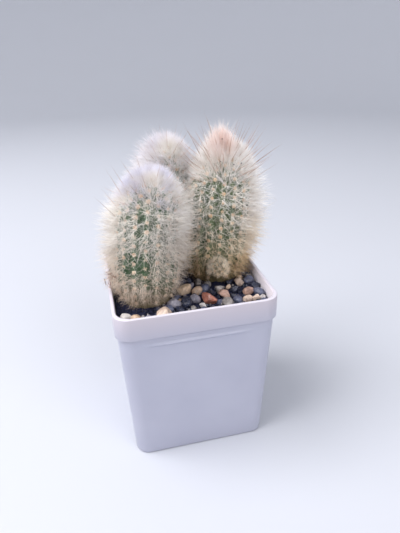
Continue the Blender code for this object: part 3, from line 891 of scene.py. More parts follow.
# %% Finish of the stones
def stone_finish():
    """Speckled stone in the colour that its shade stands for."""
    material, tree, shader = new_finish("stones", 0.55, 0.4)
    place = place_socket(tree)
    steps = [(index / len(SHADES), tint) for index, tint in enumerate(SHADES.values())]
    base = ramp_socket(tree, attribute_socket(tree, "shade"), steps, steps=True)
    clouds = ramp_socket(
        tree, noise_socket(tree, place, 520.0, detail=4.0),
        ((0.3, colour(146, 144, 152)), (0.7, colour(255, 255, 255))),
    )
    mottled = mix_socket(tree, 0.85, base, clouds, "MULTIPLY")
    specks = spread_socket(tree, noise_socket(tree, place, 3400.0, detail=2.0), 0.6, 0.72)
    speckled = mix_socket(tree, math_socket(tree, "MULTIPLY", specks, 0.35), mottled, colour(225, 220, 215))
    tree.links.new(speckled, shader.inputs["Base Color"])
    worn = spread_socket(tree, noise_socket(tree, place, 700.0), 0.3, 0.7, 0.1, 0.45)
    tree.links.new(worn, shader.inputs["Roughness"])
    add_bump(tree, shader, noise_socket(tree, place, 1500.0, detail=5.0), 0.24 * MM, 0.8)
    return material


stone_look = stone_finish()
add_piece("stones", stone_bed(), stone_look, "gravel", smooth_angle=32)

draw = random.Random(STONE_SEED + 1)
grit_kinds = [
    stone_mesh(draw, shade_value(draw.choice(GRIT_SHADES)), True, 1) for _ in range(GRIT_KINDS)
]
grit = scatter(
    grit_kinds, GRIT_COUNT, GRIT_WIDTHS, STONE_SEED + 2, Vector((0, 0)), inner_half(BED_HEIGHT),
    lambda x, y: not is_bare(x, y, GRIT_MARGIN),
)
add_piece("grit", grit, stone_look, "gravel", smooth_angle=30)
crumbs = scatter(
    grit_kinds, CRUMB_COUNT, CRUMB_WIDTHS, STONE_SEED + 3, BARE_CENTRE, BARE_RADIUS,
    lambda x, y: is_bare(x, y, GRIT_MARGIN),
)
add_piece("soil_crumbs", crumbs, dark_soil, "soil", smooth_angle=30)

# %% [markdown]
# ## Skins
#
# Under the hair each stem is a green column with low, rounded ribs. The ribs swell a little at each areole,
# the felted point that the hairs grow from. The skin is extruded ring by ring like the pot, from a circle
# whose points keep the number angle as they are extruded. A formula in the angle and the height then sets
# each ring: a cosine gives the ribs, and a small hump at each areole the swellings.

# %% Areoles
AREOLE_LOWEST = 64.3 * MM
AREOLE_STEP = 3.3 * MM
AREOLE_HIGHEST = 0.985
CLOSEST_AREOLES = 0.25

Areole = namedtuple("Areole", "root normal angle height share")


def skin_normal(stem, height, angle):
    """The direction straight out of the skin."""
    step = 0.3 * MM
    slope = (skin_radius(stem, height + step) - skin_radius(stem, height - step)) / (2 * step)
    return Vector((math.cos(angle), math.sin(angle), -slope)).normalized()


def skin_point(stem, height, angle, widen=1.0):
    """A point on the skin, or outside it for a widen above 1."""
    reach = skin_radius(stem, height) * widen
    return centre_line(stem, height) + Vector((math.cos(angle) * reach, math.sin(angle) * reach, 0))


def areole_heights(stem, rib):
    """The heights of a rib's areoles, an even step apart along the skin, staggered from rib to rib."""
    height = AREOLE_LOWEST + 0.5 * AREOLE_STEP * (rib % 2)
    top = STEM_FOOT + (stem.crown * MM - STEM_FOOT) * AREOLE_HIGHEST
    while height < top:
        yield height
        height += AREOLE_STEP * max(CLOSEST_AREOLES, skin_normal(stem, height, 0).xy.length)


def areoles(stem):
    """All areoles of a stem."""
    found = []
    for rib in range(stem.ribs):
        angle = math.tau * rib / stem.ribs
        for height in areole_heights(stem, rib):
            root = skin_point(stem, height, angle, 1 + RIB_DEPTH)
            normal = skin_normal(stem, height, angle)
            found.append(Areole(root, normal, angle, height, up_share(stem, height)))
    return found


stem_areoles = {stem.name: areoles(stem) for stem in STEMS}
print("areoles:", {name: len(found) for name, found in stem_areoles.items()})

# %% Skin of a stem
SKIN_FOOT = 59.0 * MM
SKIN_COLUMNS = 6
SKIN_RINGS = 56
DOME_RINGS = 22
PEAK_GAP = 0.7
RIB_START = 4 * MM
CREST_WIDTH = 0.7
SWELLING = 0.035


def skin_heights(stem):
    """Heights of the skin's rings, closer together near the crown."""
    dome = STEM_FOOT + (stem.crown * MM - STEM_FOOT) * DOME_START
    for step in range(SKIN_RINGS + 1):
        yield SKIN_FOOT + (dome - SKIN_FOOT) * step / SKIN_RINGS
    for step in range(1, DOME_RINGS + 1):
        yield dome + (stem.crown * MM - dome) * math.sin(math.pi / 2 * step / (DOME_RINGS + PEAK_GAP))


def rib_reach(stem, height, angle):
    """The skin's reach at an angle, as a share of its mean radius."""
    turn = angle / math.tau * stem.ribs
    crest = 0.5 + 0.5 * math.cos(math.tau * turn)
    ribs = min(1.0, max(0.0, (height - STEM_FOOT) / RIB_START))
    phase = (height - AREOLE_LOWEST) / AREOLE_STEP - 0.5 * (round(turn) % 2)
    swelling = SWELLING * crest ** 2 * (0.5 + 0.5 * math.cos(math.tau * phase)) ** 2
    return 1 + ribs * (RIB_DEPTH * (2 * crest ** CREST_WIDTH - 1) + swelling)


def stem_skin(stem):
    """The ribbed skin of a stem, closed at its buried foot and at its crown."""
    bm = bmesh.new()
    layer, = new_layers(bm, "angle")
    bmesh.ops.create_circle(bm, cap_ends=True, segments=SKIN_COLUMNS * stem.ribs, radius=1.0)
    cap = bm.faces[:][0]
    for vert in cap.verts:
        vert[layer] = math.atan2(vert.co.y, vert.co.x)
    for ring, height in enumerate(skin_heights(stem)):
        if ring:
            cap = extrude_cap(bm, cap)
        for vert in cap.verts:
            vert.co = skin_point(stem, height, vert[layer], rib_reach(stem, height, vert[layer]))
    peak = bmesh.ops.poke(bm, faces=[cap])["verts"][0]
    peak.co = centre_line(stem, stem.crown * MM)
    bmesh.ops.recalc_face_normals(bm, faces=bm.faces[:])
    bm.verts.layers.float.remove(layer)
    return bm


# %% [markdown]
# The skin is a waxy green, mottled by noise and browner at the foot, where old skin turns corky. Each stem
# has its own two greens.

# %% Finish of the skin
def skin_finish(name, deep, fresh):
    """Green skin mottled between two tones."""
    material, tree, shader = new_finish(name, 0.5, 0.4)
    place = place_socket(tree)
    patches = ramp_socket(tree, noise_socket(tree, place, 420.0, detail=4.0), ((0.35, deep), (0.68, fresh)))
    old = spread_socket(tree, height_socket(tree, place), 63 * MM, 72 * MM, 0.8, 0.0)
    tree.links.new(mix_socket(tree, old, patches, colour(120, 104, 74)), shader.inputs["Base Color"])
    add_bump(tree, shader, noise_socket(tree, place, 1900.0, detail=3.0), 0.06 * MM, 0.6)
    return material


GREEN = {
    "left": skin_finish("green_skin_left", colour(44, 72, 46), colour(88, 112, 84)),
    "right": skin_finish("green_skin_right", colour(60, 80, 54), colour(110, 124, 90)),
    "back": skin_finish("green_skin_back", colour(62, 88, 56), colour(104, 128, 88)),
    "pup": skin_finish("green_skin_pup", colour(64, 66, 46), colour(118, 114, 82)),
}
for stem in STEMS:
    skin = stem_skin(stem)
    add_piece("skin_" + stem.name, skin, GREEN[stem.name], "stem_" + stem.name, smooth_angle=180)

# %% [markdown]
# ## Felt of the areoles
#
# Each areole is a small cushion of peach felt. It is modelled as a pressed, uneven ball of 20 faces, seated
# on the rib and turned to face outwards. Its shade is a random number in its points, as on the stones.

# %% Felt pads
FELT_KINDS = 12
FELT_RADII = (0.5, 0.98)
FELT_THICKNESS = 0.55


def felt_kinds(seed):
    """A few different pads to choose from."""
    draw = random.Random(seed)
    return [stone_mesh(draw, draw.random(), False, 1) for _ in range(FELT_KINDS)]


def set_felt(bm, kinds, draw, root, normal, radius):
    """Seat one pad on a root, facing along a normal."""
    aim = normal.to_track_quat("Z", "Y").to_matrix().to_4x4()
    spin = Matrix.Rotation(draw.uniform(0, math.tau), 4, "Z")
    size = Matrix.Diagonal((radius, radius, radius * FELT_THICKNESS, 1))
    drop_in(bm, draw.choice(kinds), Matrix.Translation(root) @ aim @ spin @ size)


def felt_finish(name, dark, pale):
    """Felt that differs in tone from pad to pad."""
    material, tree, shader = new_finish(name, 0.9, 0.2)
    place = place_socket(tree)
    tint = ramp_socket(tree, attribute_socket(tree, "shade"), ((0.0, dark), (1.0, pale)))
    fibres = ramp_socket(
        tree, noise_socket(tree, place, 2400.0, detail=4.0),
        ((0.3, colour(196, 186, 176)), (0.65, colour(255, 255, 255))),
    )
    tree.links.new(mix_socket(tree, 0.8, tint, fibres, "MULTIPLY"), shader.inputs["Base Color"])
    shader.inputs["Sheen Weight"].default_value = 0.3
    add_bump(tree, shader, noise_socket(tree, place, 4200.0, detail=3.0), 0.12 * MM, 0.8)
    return material


FELT = {
    "left": felt_finish("felt_left", colour(214, 184, 156), colour(238, 220, 200)),
    "right": felt_finish("felt_right", colour(222, 188, 148), colour(240, 216, 182)),
    "back": felt_finish("felt_back", colour(210, 178, 144), colour(236, 214, 186)),
}
pads = felt_kinds(31)
for stem in STEMS:
    bm = bmesh.new()
    new_layers(bm, "shade")
    draw = random.Random(stem.seed + 50)
    for areole in stem_areoles[stem.name]:
        set_felt(bm, pads, draw, areole.root, areole.normal, draw.uniform(*FELT_RADII) * MM)
    add_piece("felt_" + stem.name, bm, FELT[stem.name], "stem_" + stem.name, smooth_angle=180)

# %% [markdown]
# ## One hair
#
# A particle system could grow the hairs, but hairs that are curves don't survive an export to plain meshes.
# So each hair is a thin three-sided cone with a cut or two across it, bent by a formula. A few kinds with
# different bends and curls are enough: each is dropped in thousands of times, turned at random.
#
# Every point of a hair stores two numbers for the finish: along, from 0 at the root to 1 at the tip, and
# tone, the same for the whole hair, so that neighbours differ a little in colour; whole tufts of low tone
# carry painted shade.

# %% Kinds of hair
HAIR_WIDTHS = (0.8, 1.2)
HAIR_CURLS = (0.3, 1.0)
HAIR_TURNS = (0.6, 1.4)


def hair_mesh(width, bend, curl, turns, tone, cuts):
    """A hair one unit long that rises along +Z and bends towards +X."""
    bm = bmesh.new()
    along, shade = new_layers(bm, "along", "tone")
    bmesh.ops.create_cone(
        bm, cap_ends=True, segments=3, radius1=width / 2, radius2=0.0, depth=1.0,
        matrix=Matrix.Translation((0, 0, 0.5)),
    )
    for step in range(1, cuts + 1):
        bmesh.ops.bisect_plane(
            bm, geom=bm.verts[:] + bm.edges[:] + bm.faces[:],
            plane_co=(0, 0, step / (cuts + 1)), plane_no=(0, 0, 1),
        )
    bmesh.ops.recalc_face_normals(bm, faces=bm.faces[:])
    for vert in bm.verts:
        share = vert.co.z
        vert[along] = share
        vert[shade] = tone
        vert.co.x += bend * share ** 2 + curl * share * math.sin(math.tau * turns * share)
        vert.co.y += curl * share * (math.cos(math.tau * turns * share) - 1)
    return to_mesh("hair", bm)


def hair_kinds(count, width, bend, curl, seed, cuts=1):
    """Kinds of hair from the darkest to the palest, with random bends and curls up to a limit."""
    draw = random.Random(seed)
    return [
        hair_mesh(
            width * draw.uniform(*HAIR_WIDTHS), draw.uniform(-bend, bend), draw.uniform(*HAIR_CURLS) * curl,
            draw.uniform(*HAIR_TURNS), (step + 0.5) / count, cuts,
        )
        for step in range(count)
    ]


SHORT_HAIRS = hair_kinds(24, 0.023, 0.5, 0.16, 21)
LONG_HAIRS = hair_kinds(24, 0.021, 0.30, 0.09, 22)
CURLED_HAIRS = hair_kinds(16, 0.020, 0.80, 0.16, 23, cuts=2)
WOOL_HAIRS = hair_kinds(24, 0.022, 0.20, 0.08, 24)
SPINES = hair_kinds(10, 0.021, 0.05, 0.0, 25, cuts=2)
print("faces of a short hair:", len(SHORT_HAIRS[0].polygons))


# %% [markdown]
# ## Growing hairs
#
# A hair is planted by one matrix: it scales the hair to its length, turns it about itself, aims it and moves
# it to its root. Where it would reach into a neighbour, the pot's wall or the stones, it isn't planted. Real
# fur sticks together in tufts, with shade between them, and drawing each hair's tone alone would give an
# even grey. So slow noise over the roots picks the tone, with a little chance on top: the darker tufts are
# partly painted shade between clumps, partly tone that differs at random.

# %% Plant a hair
TIP_CLEARANCE = 1.0 * MM
SIDE_CLEARANCE = 0.3 * MM
TONES_PER_METRE = 520.0
TONE_SWING = 0.95
TONE_CHANCE = 0.15


def is_clear(stem, point):
    """True where a point is above the stones, inside the rim and outside the other stems."""
    if point.z < BED_HEIGHT + TIP_CLEARANCE:
        return False
    aside = max(abs(point.x), abs(point.y))
    if point.z < POT_HEIGHT + SIDE_CLEARANCE and aside > inner_half(point.z) - SIDE_CLEARANCE:
        return False
    own = outside_skin(stem, point)
    return all(other is stem or outside_skin(other, point) > min(own, SIDE_CLEARANCE) for other in STEMS)


def near_kind(kinds, draw, root):
    """A kind of hair of much the same tone as the other hairs of the tuft round its root; darker tufts are
    partly painted shade between clumps.
    """
    tone = 0.5 + TONE_SWING * noise.noise(root * TONES_PER_METRE) + draw.gauss(0, TONE_CHANCE)
    return kinds[min(len(kinds) - 1, max(0, int(tone * len(kinds))))]


def plant(bm, kinds, draw, root, direction, length):
    """Plant one hair."""
    aim = direction.to_track_quat("Z", "Y").to_matrix().to_4x4()
    spin = Matrix.Rotation(draw.uniform(0, math.tau), 4, "Z")
    place = Matrix.Translation(root) @ aim @ spin @ Matrix.Scale(length, 4)
    drop_in(bm, near_kind(kinds, draw, root), place)


def plant_clear(bm, kinds, draw, stem, root, direction, length):
    """Plant one hair on a stem, if it has room."""
    direction = direction.normalized()
    if is_clear(stem, root + direction * length) and is_clear(stem, root + direction * length * 0.5):
        plant(bm, kinds, draw, root, direction, length)


def new_hair_piece():
    """An empty bmesh with the two numbers that a hair's points store."""
    bm = bmesh.new()
    new_layers(bm, "along", "tone")
    return bm


# %% [markdown]
# ## Hair of the stems
#
# Around each areole short hairs spread like the rays of a star, close to the skin. Longer ones stand out and
# make the fur that shows at the sides, and a few curled ones stray across. Real hairs start from the whole
# areole and tangle, so each root is moved a little at random, or the rows of areoles would show as stripes.
# Where the fur is thin the green shows: on the side of each stem that faces the front, and most of all in a
# worn patch low on the left stem. These thin places are windows, ovals round a point of the skin.

# %% Windows in the fur
# angle round the stem in degrees and height in mm, their half-widths, and what the numbers of short and
# long hairs are multiplied by; above 1 the fur is thicker there
Window = namedtuple("Window", "angle height wide high short long")
WINDOWS = {
    "left": (
        Window(-117, 90, 27, 13.5, 1.15, 0.28),
        Window(-121, 79.8, 32, 4.0, 0.1, 0.0),
        Window(-42, 95, 24, 14.0, 1.15, 1.5),
        Window(-40, 73, 40, 6.5, 0.85, 0.35),
    ),
    "right": (
        Window(-106, 91, 37, 16.0, 0.9, 0.25),
        Window(-110, 88, 26, 5.5, 0.8, 0.4),
        Window(-105, 74, 50, 6.0, 0.85, 0.7),
        Window(-102, 68.5, 17, 4.0, 0.2, 0.0),
        Window(174, 92, 24, 20.0, 1.1, 1.5),
    ),
    "back": (
        Window(-70, 98, 36, 5.0, 0.9, 0.8),
    ),
}
# a window works in full up to 0.86 of its half-widths, and no more at 1.57 of them
WINDOW_REACH = 2.2
WINDOW_FADE = 1.4


def hair_shares(stem, areole):
    """What an areole's numbers of short and of long hairs are multiplied by."""
    short, long = 1.0, 1.0
    for window in WINDOWS[stem.name]:
        turn = (math.degrees(areole.angle) - window.angle + 180) % 360 - 180
        far = math.hypot(turn / window.wide, (areole.height / MM - window.height) / window.high)
        inside = min(1.0, max(0.0, WINDOW_REACH - WINDOW_FADE * far))
        short *= 1 + (window.short - 1) * inside
        long *= 1 + (window.long - 1) * inside
    return short, long


# %% Fur of a stem
# how many short, long and curled hairs grow from an areole, the lengths of the long ones in mm, the share
# of that length near the crown, and which way the fur is combed
Fur = namedtuple("Fur", "short long curled long_lengths top comb")
FURS = {
    "left": Fur(34, 42, 6, (4.8, 9.8), 0.62, Vector((-0.06, 0, 0))),
    "right": Fur(32, 38, 7, (5.0, 11.2), 0.45, Vector((0.08, 0, 0))),
    "back": Fur(26, 32, 3, (4.2, 9.8), 0.85, Vector((-0.25, 0, 0))),
}
TOP_SHORTER = (0.68, 0.92)
SHORT_LENGTHS = (2.4, 4.8)
CURLED_LENGTHS = (4.5, 7.5)
SHORT_LIFT = (0.05, 0.6)
LONG_LIFT = (0.55, 1.5)
CURLED_LIFT = (0.25, 0.9)
ROOT_SPREAD = 0.22
FUR_SPREAD = 0.42
FUR_RISE = 0.5
FUR_LEVEL = 0.45
ROOT_SINK = 0.01
CROWN_GAP = 0.1 * MM
FOOT_SHORTER = 0.48
FOOT_SHARE = 0.38
CLUMPS_PER_METRE = 300.0
CLUMPING = 0.72
# without a seed of its own, noise_vector starts from the clock
noise.seed_set(4)


def ray(angle, normal, around, lift):
    """A direction from the skin: around in its plane, and lift radians out of it."""
    side = Vector((-math.sin(angle), math.cos(angle), 0))
    up = normal.cross(side)
    flat = side * math.cos(around) + up * math.sin(around)
    return flat * math.cos(lift) + normal * math.sin(lift)


def grow(bm, kinds, draw, stem, areole, count, lengths, lifts, spread):
    """Grow some hairs round an areole."""
    fur = FURS[stem.name]
    low, high = TOP_SHORTER
    size = FOOT_SHORTER + (1 - FOOT_SHORTER) * min(1.0, max(0.0, areole.share / FOOT_SHARE))
    size *= 1 - (1 - fur.top) * min(1.0, max(0.0, (areole.share - low) / (high - low)))
    for _ in range(count):
        angle = areole.angle + draw.gauss(0, spread) * math.tau / stem.ribs
        height = areole.height + draw.gauss(0, spread) * AREOLE_STEP * areole.normal.xy.length
        height = min(height, stem.crown * MM - CROWN_GAP)
        root = skin_point(stem, height, angle, rib_reach(stem, height, angle) - ROOT_SINK)
        direction = ray(angle, areole.normal, draw.uniform(0, math.tau), draw.uniform(*lifts))
        direction += noise.noise_vector(root * CLUMPS_PER_METRE) * CLUMPING
        direction.z += FUR_RISE * (areole.share - FUR_LEVEL)
        length = draw.triangular(*lengths) * MM * size * (1 + direction.dot(fur.comb))
        direction += fur.comb
        plant_clear(bm, kinds, draw, stem, root, direction, length)


def stem_hair(stem):
    """The web of short and curled hairs close to the skin, and the long fur, as two bmeshes."""
    draw = random.Random(stem.seed)
    web, coat = new_hair_piece(), new_hair_piece()
    fur = FURS[stem.name]
    for areole in stem_areoles[stem.name]:
        short_share, long_share = hair_shares(stem, areole)
        short, long, curled = fur.short * short_share, fur.long * long_share, fur.curled * short_share
        here = (draw, stem, areole)
        grow(web, SHORT_HAIRS, *here, round(short), SHORT_LENGTHS, SHORT_LIFT, ROOT_SPREAD)
        grow(web, CURLED_HAIRS, *here, round(curled), CURLED_LENGTHS, CURLED_LIFT, ROOT_SPREAD)
        grow(coat, LONG_HAIRS, *here, round(long), fur.long_lengths, LONG_LIFT, FUR_SPREAD)
    return web, coat


# %% [markdown]
# The hair is white, and greyer and yellower towards the foot, where it is older. The colour is a ramp over
# the height, shifted by noise, shaded by the tone number and mixed with the root's colour by the along
# number. Round the growing point the wool blushes, on the right stem most of all: there the distance from a
# centre, measured in an oval, mixes a second colour in.

# %% Finish of the hair
def oval_socket(tree, place, centre, radii):
    """The distance from a centre, 0 there and 1 on an oval with the given radii in mm."""
    node = tree.nodes.new("ShaderNodeMapping")
    node.vector_type = "TEXTURE"
    node.inputs["Location"].default_value = centre
    node.inputs["Scale"].default_value = [radius * MM for radius in radii]
    tree.links.new(place, node.inputs["Vector"])
    length = tree.nodes.new("ShaderNodeVectorMath")
    length.operation = "LENGTH"
    tree.links.new(node.outputs["Vector"], length.inputs[0])
    return length.outputs["Value"]


def hair_finish(name, stops, root, crown, radii, blush):
    """Hair whose colour changes with the height in mm, towards its root and round the growing point."""
    material, tree, shader = new_finish(name, 0.55, 0.3)
    place = place_socket(tree)
    low, high = stops[0][0], stops[-1][0]
    height = spread_socket(tree, height_socket(tree, place), low * MM, high * MM)
    clouds = spread_socket(tree, noise_socket(tree, place, 160.0, detail=2.0), 0.3, 0.7, -0.12, 0.12)
    shifted = math_socket(tree, "ADD", height, clouds)
    body = ramp_socket(tree, shifted, [((stop[0] - low) / (high - low), stop[1]) for stop in stops])
    near = spread_socket(tree, oval_socket(tree, place, crown, radii), 0.35, 1.0, 1.0, 0.0)
    blushed = mix_socket(tree, near, body, blush)
    # a low tone darkens the hair: partly painted shade between clumps, partly tone that differs at random
    toned = ramp_socket(
        tree, attribute_socket(tree, "tone"),
        ((0.0, colour(226, 220, 216)), (0.35, colour(248, 246, 244)), (0.65, colour(255, 255, 255))),
    )
    at_root = spread_socket(tree, attribute_socket(tree, "along"), 0.0, 0.45, 0.4, 0.0)
    shaded = mix_socket(tree, 1.0, blushed, toned, "MULTIPLY")
    tree.links.new(mix_socket(tree, at_root, shaded, root), shader.inputs["Base Color"])
    return material


def crown_point(stem, aside, forward, above):
    """A point so many mm to the right of the growing point, in front of it and above it."""
    return centre_line(stem, stem.crown * MM) + Vector((aside, -forward, above)) * MM


HAIR_LOOKS = {
    "left": hair_finish(
        "hair_left",
        ((63, colour(192, 173, 156)), (70, colour(226, 211, 197)), (80, colour(226, 218, 209)),
         (94, colour(241, 238, 234)), (100, colour(252, 248, 242)), (107, colour(238, 238, 251))),
        colour(242, 234, 222), crown_point(LEFT, 0.0, 4.5, -1.0), (6.5, 6.0, 6.0), colour(255, 252, 249),
    ),
    "right": hair_finish(
        "hair_right",
        ((63, colour(192, 158, 116)), (72, colour(234, 210, 172)), (84, colour(250, 242, 230)),
         (94, colour(254, 251, 248)), (108, colour(255, 253, 252))),
        colour(250, 234, 212), crown_point(RIGHT, -1.5, 1.5, 2.0), (7.0, 7.0, 11.0), colour(255, 236, 230),
    ),
    "back": hair_finish(
        "hair_back",
        ((63, colour(200, 174, 142)), (80, colour(246, 236, 224)), (96, colour(255, 253, 251)),
         (114, colour(243, 241, 248))),
        colour(255, 252, 246), crown_point(BACK, 0.0, 4.5, -2.0), (7.5, 6.0, 7.0), colour(255, 252, 247),
    ),
}
for stem in STEMS:
    node = "stem_" + stem.name
    web, coat = stem_hair(stem)
    add_piece("web_" + stem.name, web, HAIR_LOOKS[stem.name], node)
    add_piece("fur_" + stem.name, coat, HAIR_LOOKS[stem.name], node)

# %% [markdown]
# ## Wool of the crowns
#
# Young areoles crowd together on the crown, and their wool stands up as one dense cap. The roots follow the
# golden angle, the turn by which a sunflower sets its seeds, so they cover the dome evenly without rows. The
# left cap is a wide white dome, the right one is drawn out to a ragged point, and the one at the back is
# round. In front the wool is thinner, where the green begins. Noise bends the hairs and changes their
# lengths together, tuft by tuft.

# %% Caps of wool
GOLDEN_ANGLE = math.pi * (3 - math.sqrt(5))
# hairs, radius in mm, lengths in mm at the peak and at the edge, how far to the right the peak is in mm,
# the shares of the radius between which the lengths change, tilts in radians in the middle and at the
# edge, share kept in front, which way they lean
Cap = namedtuple(
    "Cap", "count radius peak_length edge_length peak core rim middle_tilt edge_tilt front lean",
)
CAPS = {
    "left": Cap(6400, 9.6, 4.9, 4.9, 0.0, 0.0, 0.9, 0.0, 0.9, 0.5, -0.06),
    "right": Cap(6800, 10.4, 10.2, 5.8, -1.4, 0.08, 0.58, -0.15, 0.85, 0.7, -0.04),
    "back": Cap(4200, 8.4, 5.0, 6.0, 0.0, 0.1, 0.9, 0.05, 1.05, 0.95, -0.1),
}
CAP_RING = 0.3
FRONT_FADE = 1.6
TUFTS_PER_METRE = 700.0
TUFTING = 0.42
RAGGEDNESS = 0.35
WOOL_SCATTER = 0.16
WOOL_TWIST = 0.3
WOOL_SHARES = (0.72, 1.06)


def cap_wool(stem):
    """The wool of a crown."""
    cap = CAPS[stem.name]
    draw = random.Random(stem.seed + 100)
    bm = new_hair_piece()
    for step in range(cap.count):
        share = math.sqrt((step + 0.5) / cap.count)
        angle = step * GOLDEN_ANGLE
        out = Vector((math.cos(angle), math.sin(angle), 0))
        edge = min(1.0, max(0.0, (share - CAP_RING) / (1 - CAP_RING)))
        facing = max(0.0, -out.y) * edge
        if draw.random() < (1 - cap.front) * min(1.0, FRONT_FADE * facing):
            continue
        radius = cap.radius * MM * share
        height = dome_height(stem, radius)
        root = centre_line(stem, height) + out * radius
        tilt = cap.middle_tilt + (cap.edge_tilt - cap.middle_tilt) * share + draw.gauss(0, WOOL_SCATTER)
        turn = Matrix.Rotation(draw.gauss(0, WOOL_TWIST), 3, "Z")
        direction = turn @ (out * math.sin(tilt)) + Vector((0, 0, math.cos(tilt)))
        direction += noise.noise_vector(root * TUFTS_PER_METRE) * TUFTING
        off_peak = (out * radius - Vector((cap.peak * MM, 0, 0))).length / (cap.radius * MM)
        inward = min(1.0, max(0.0, (cap.rim - off_peak) / (cap.rim - cap.core)))
        inward *= inward * (3 - 2 * inward)
        length = cap.edge_length + (cap.peak_length - cap.edge_length) * inward
        length *= 1 + RAGGEDNESS * noise.noise(root * TUFTS_PER_METRE)
        direction.x += cap.lean
        plant_clear(bm, WOOL_HAIRS, draw, stem, root, direction, length * draw.uniform(*WOOL_SHARES) * MM)
    return bm


for stem in STEMS:
    add_piece("wool_" + stem.name, cap_wool(stem), HAIR_LOOKS[stem.name], "stem_" + stem.name)

# %% [markdown]
# ## Spines
#
# Through the wool stand stiff red-brown spines, longest on the right stem. They are tapered like the hairs,
# but straighter and longer. Most follow the golden angle round the crown and lean outwards more the lower
# they start. The longest few, which stand clear of the wool, are listed one by one.

# %% Spines of the crowns
# spines, where they start and end on the dome in mm from its middle, their lengths in mm, and their tilts
# in radians in the middle and at the edge
Crest = namedtuple("Crest", "count start end lengths tilts")
CRESTS = {
    "left": Crest(22, 1.5, 9.5, (6.5, 10.5), (0.1, 1.15)),
    "right": Crest(70, 1.2, 10.6, (9.0, 15.0), (0.08, 1.1)),
    "back": Crest(40, 1.5, 8.6, (6.5, 10.5), (0.1, 1.1)),
}
# root angle in degrees and height in mm, then the tip in mm
LongSpine = namedtuple("LongSpine", "stem angle height tip")
LONG_SPINES = (
    LongSpine(LEFT, 176, 101.0, (-26.2, -6.5, 112.6)),
    LongSpine(LEFT, 168, 103.0, (-24.4, -6.0, 113.7)),
    LongSpine(LEFT, 190, 97.0, (-28.0, -8.0, 106.4)),
    LongSpine(LEFT, 184, 94.0, (-31.0, -7.5, 103.7)),
    LongSpine(RIGHT, 170, 108.0, (3.8, 7.0, 123.7)),
    LongSpine(RIGHT, 150, 110.0, (10.7, 9.0, 123.4)),
    LongSpine(RIGHT, 120, 111.0, (13.2, 9.5, 123.6)),
    LongSpine(RIGHT, 70, 111.0, (26.5, 10.0, 124.0)),
    LongSpine(RIGHT, 30, 109.0, (31.1, 9.0, 122.4)),
    LongSpine(RIGHT, 15, 108.0, (34.0, 8.0, 122.1)),
    LongSpine(RIGHT, 5, 107.0, (35.7, 7.0, 119.6)),
    LongSpine(RIGHT, 0, 104.0, (43.2, 6.5, 113.7)),
    LongSpine(RIGHT, -12, 100.0, (41.0, 4.5, 106.2)),
    LongSpine(RIGHT, 186, 104.5, (0.9, 5.0, 112.9)),
    LongSpine(RIGHT, 192, 102.0, (1.6, 3.5, 109.4)),
)
SPINE_TWIST = 0.2
SPINE_SCATTER = 0.1


def crown_spines(stem):
    """The spines of a crown."""
    crest = CRESTS[stem.name]
    draw = random.Random(stem.seed + 200)
    bm = new_hair_piece()
    for step in range(crest.count):
        share = math.sqrt((step + 0.5) / crest.count)
        angle = step * GOLDEN_ANGLE + draw.gauss(0, SPINE_TWIST)
        out = Vector((math.cos(angle), math.sin(angle), 0))
        radius = (crest.start + (crest.end - crest.start) * share) * MM
        height = dome_height(stem, radius)
        tilt = crest.tilts[0] + (crest.tilts[1] - crest.tilts[0]) * share + draw.gauss(0, SPINE_SCATTER)
        direction = out * math.sin(tilt) + Vector((0, 0, math.cos(tilt)))
        root = centre_line(stem, height) + out * radius
        plant_clear(bm, SPINES, draw, stem, root, direction, draw.uniform(*crest.lengths) * MM)
    for spine in LONG_SPINES:
        if spine.stem is stem:
            root = skin_point(stem, spine.height * MM, math.radians(spine.angle))
            direction = Vector(spine.tip) * MM - root
            plant(bm, SPINES, draw, root, direction, direction.length)
    return bm


def spine_finish(name, *colours):
    """Stiff fibre whose colour runs from the root over the middle to the tip."""
    material, tree, shader = new_finish(name, 0.45, 0.5)
    stops = [(step / 2, colour(*tint)) for step, tint in enumerate(colours)]
    body = ramp_socket(tree, attribute_socket(tree, "along"), stops)
    tones = ((0.0, colour(200, 190, 186)), (1.0, colour(255, 255, 255)))
    toned = ramp_socket(tree, attribute_socket(tree, "tone"), tones)
    tree.links.new(mix_socket(tree, 1.0, body, toned, "MULTIPLY"), shader.inputs["Base Color"])
    return material


brown_spines = spine_finish("brown_spines", (190, 140, 106), (182, 136, 110), (176, 144, 130))
for stem in STEMS:
    add_piece("spines_" + stem.name, crown_spines(stem), brown_spines, "stem_" + stem.name)

# %% [markdown]
# ## Bristles and dried wisps
#
# A few thick white bristles lie over the green of the right stem, and one, kinked, stands off its side. At
# the left a wisp of dried brown fibres hangs over the pot's rim. Each is a hair too, placed by its two ends.
# A few crumbs of soil are caught in the wool of the crowns.

# %% Bristles and wisps
BRISTLES = hair_kinds(6, 0.09, 0.14, 0.04, 26, cuts=3)
WISPS = hair_kinds(8, 0.07, 0.30, 0.12, 27, cuts=3)
# root and tip in mm
BRISTLE_ENDS = (
    ((11.1, -11.5, 107.9), (16.3, -11.5, 101.6)),
    ((17.0, -11.5, 107.9), (18.4, -11.5, 105.6)),
    ((12.9, -11.5, 98.7), (16.8, -11.5, 94.4)),
    ((16.8, -11.0, 92.0), (20.7, -11.0, 87.0)),
    ((23.4, -8.0, 86.7), (27.5, -8.0, 85.1)),
    ((28.0, 1.0, 86.6), (35.3, 0.0, 90.8)),
    ((35.2, 0.0, 90.7), (38.5, 0.0, 92.6)),
    ((38.4, 0.0, 92.5), (36.5, 0.0, 94.2)),
)
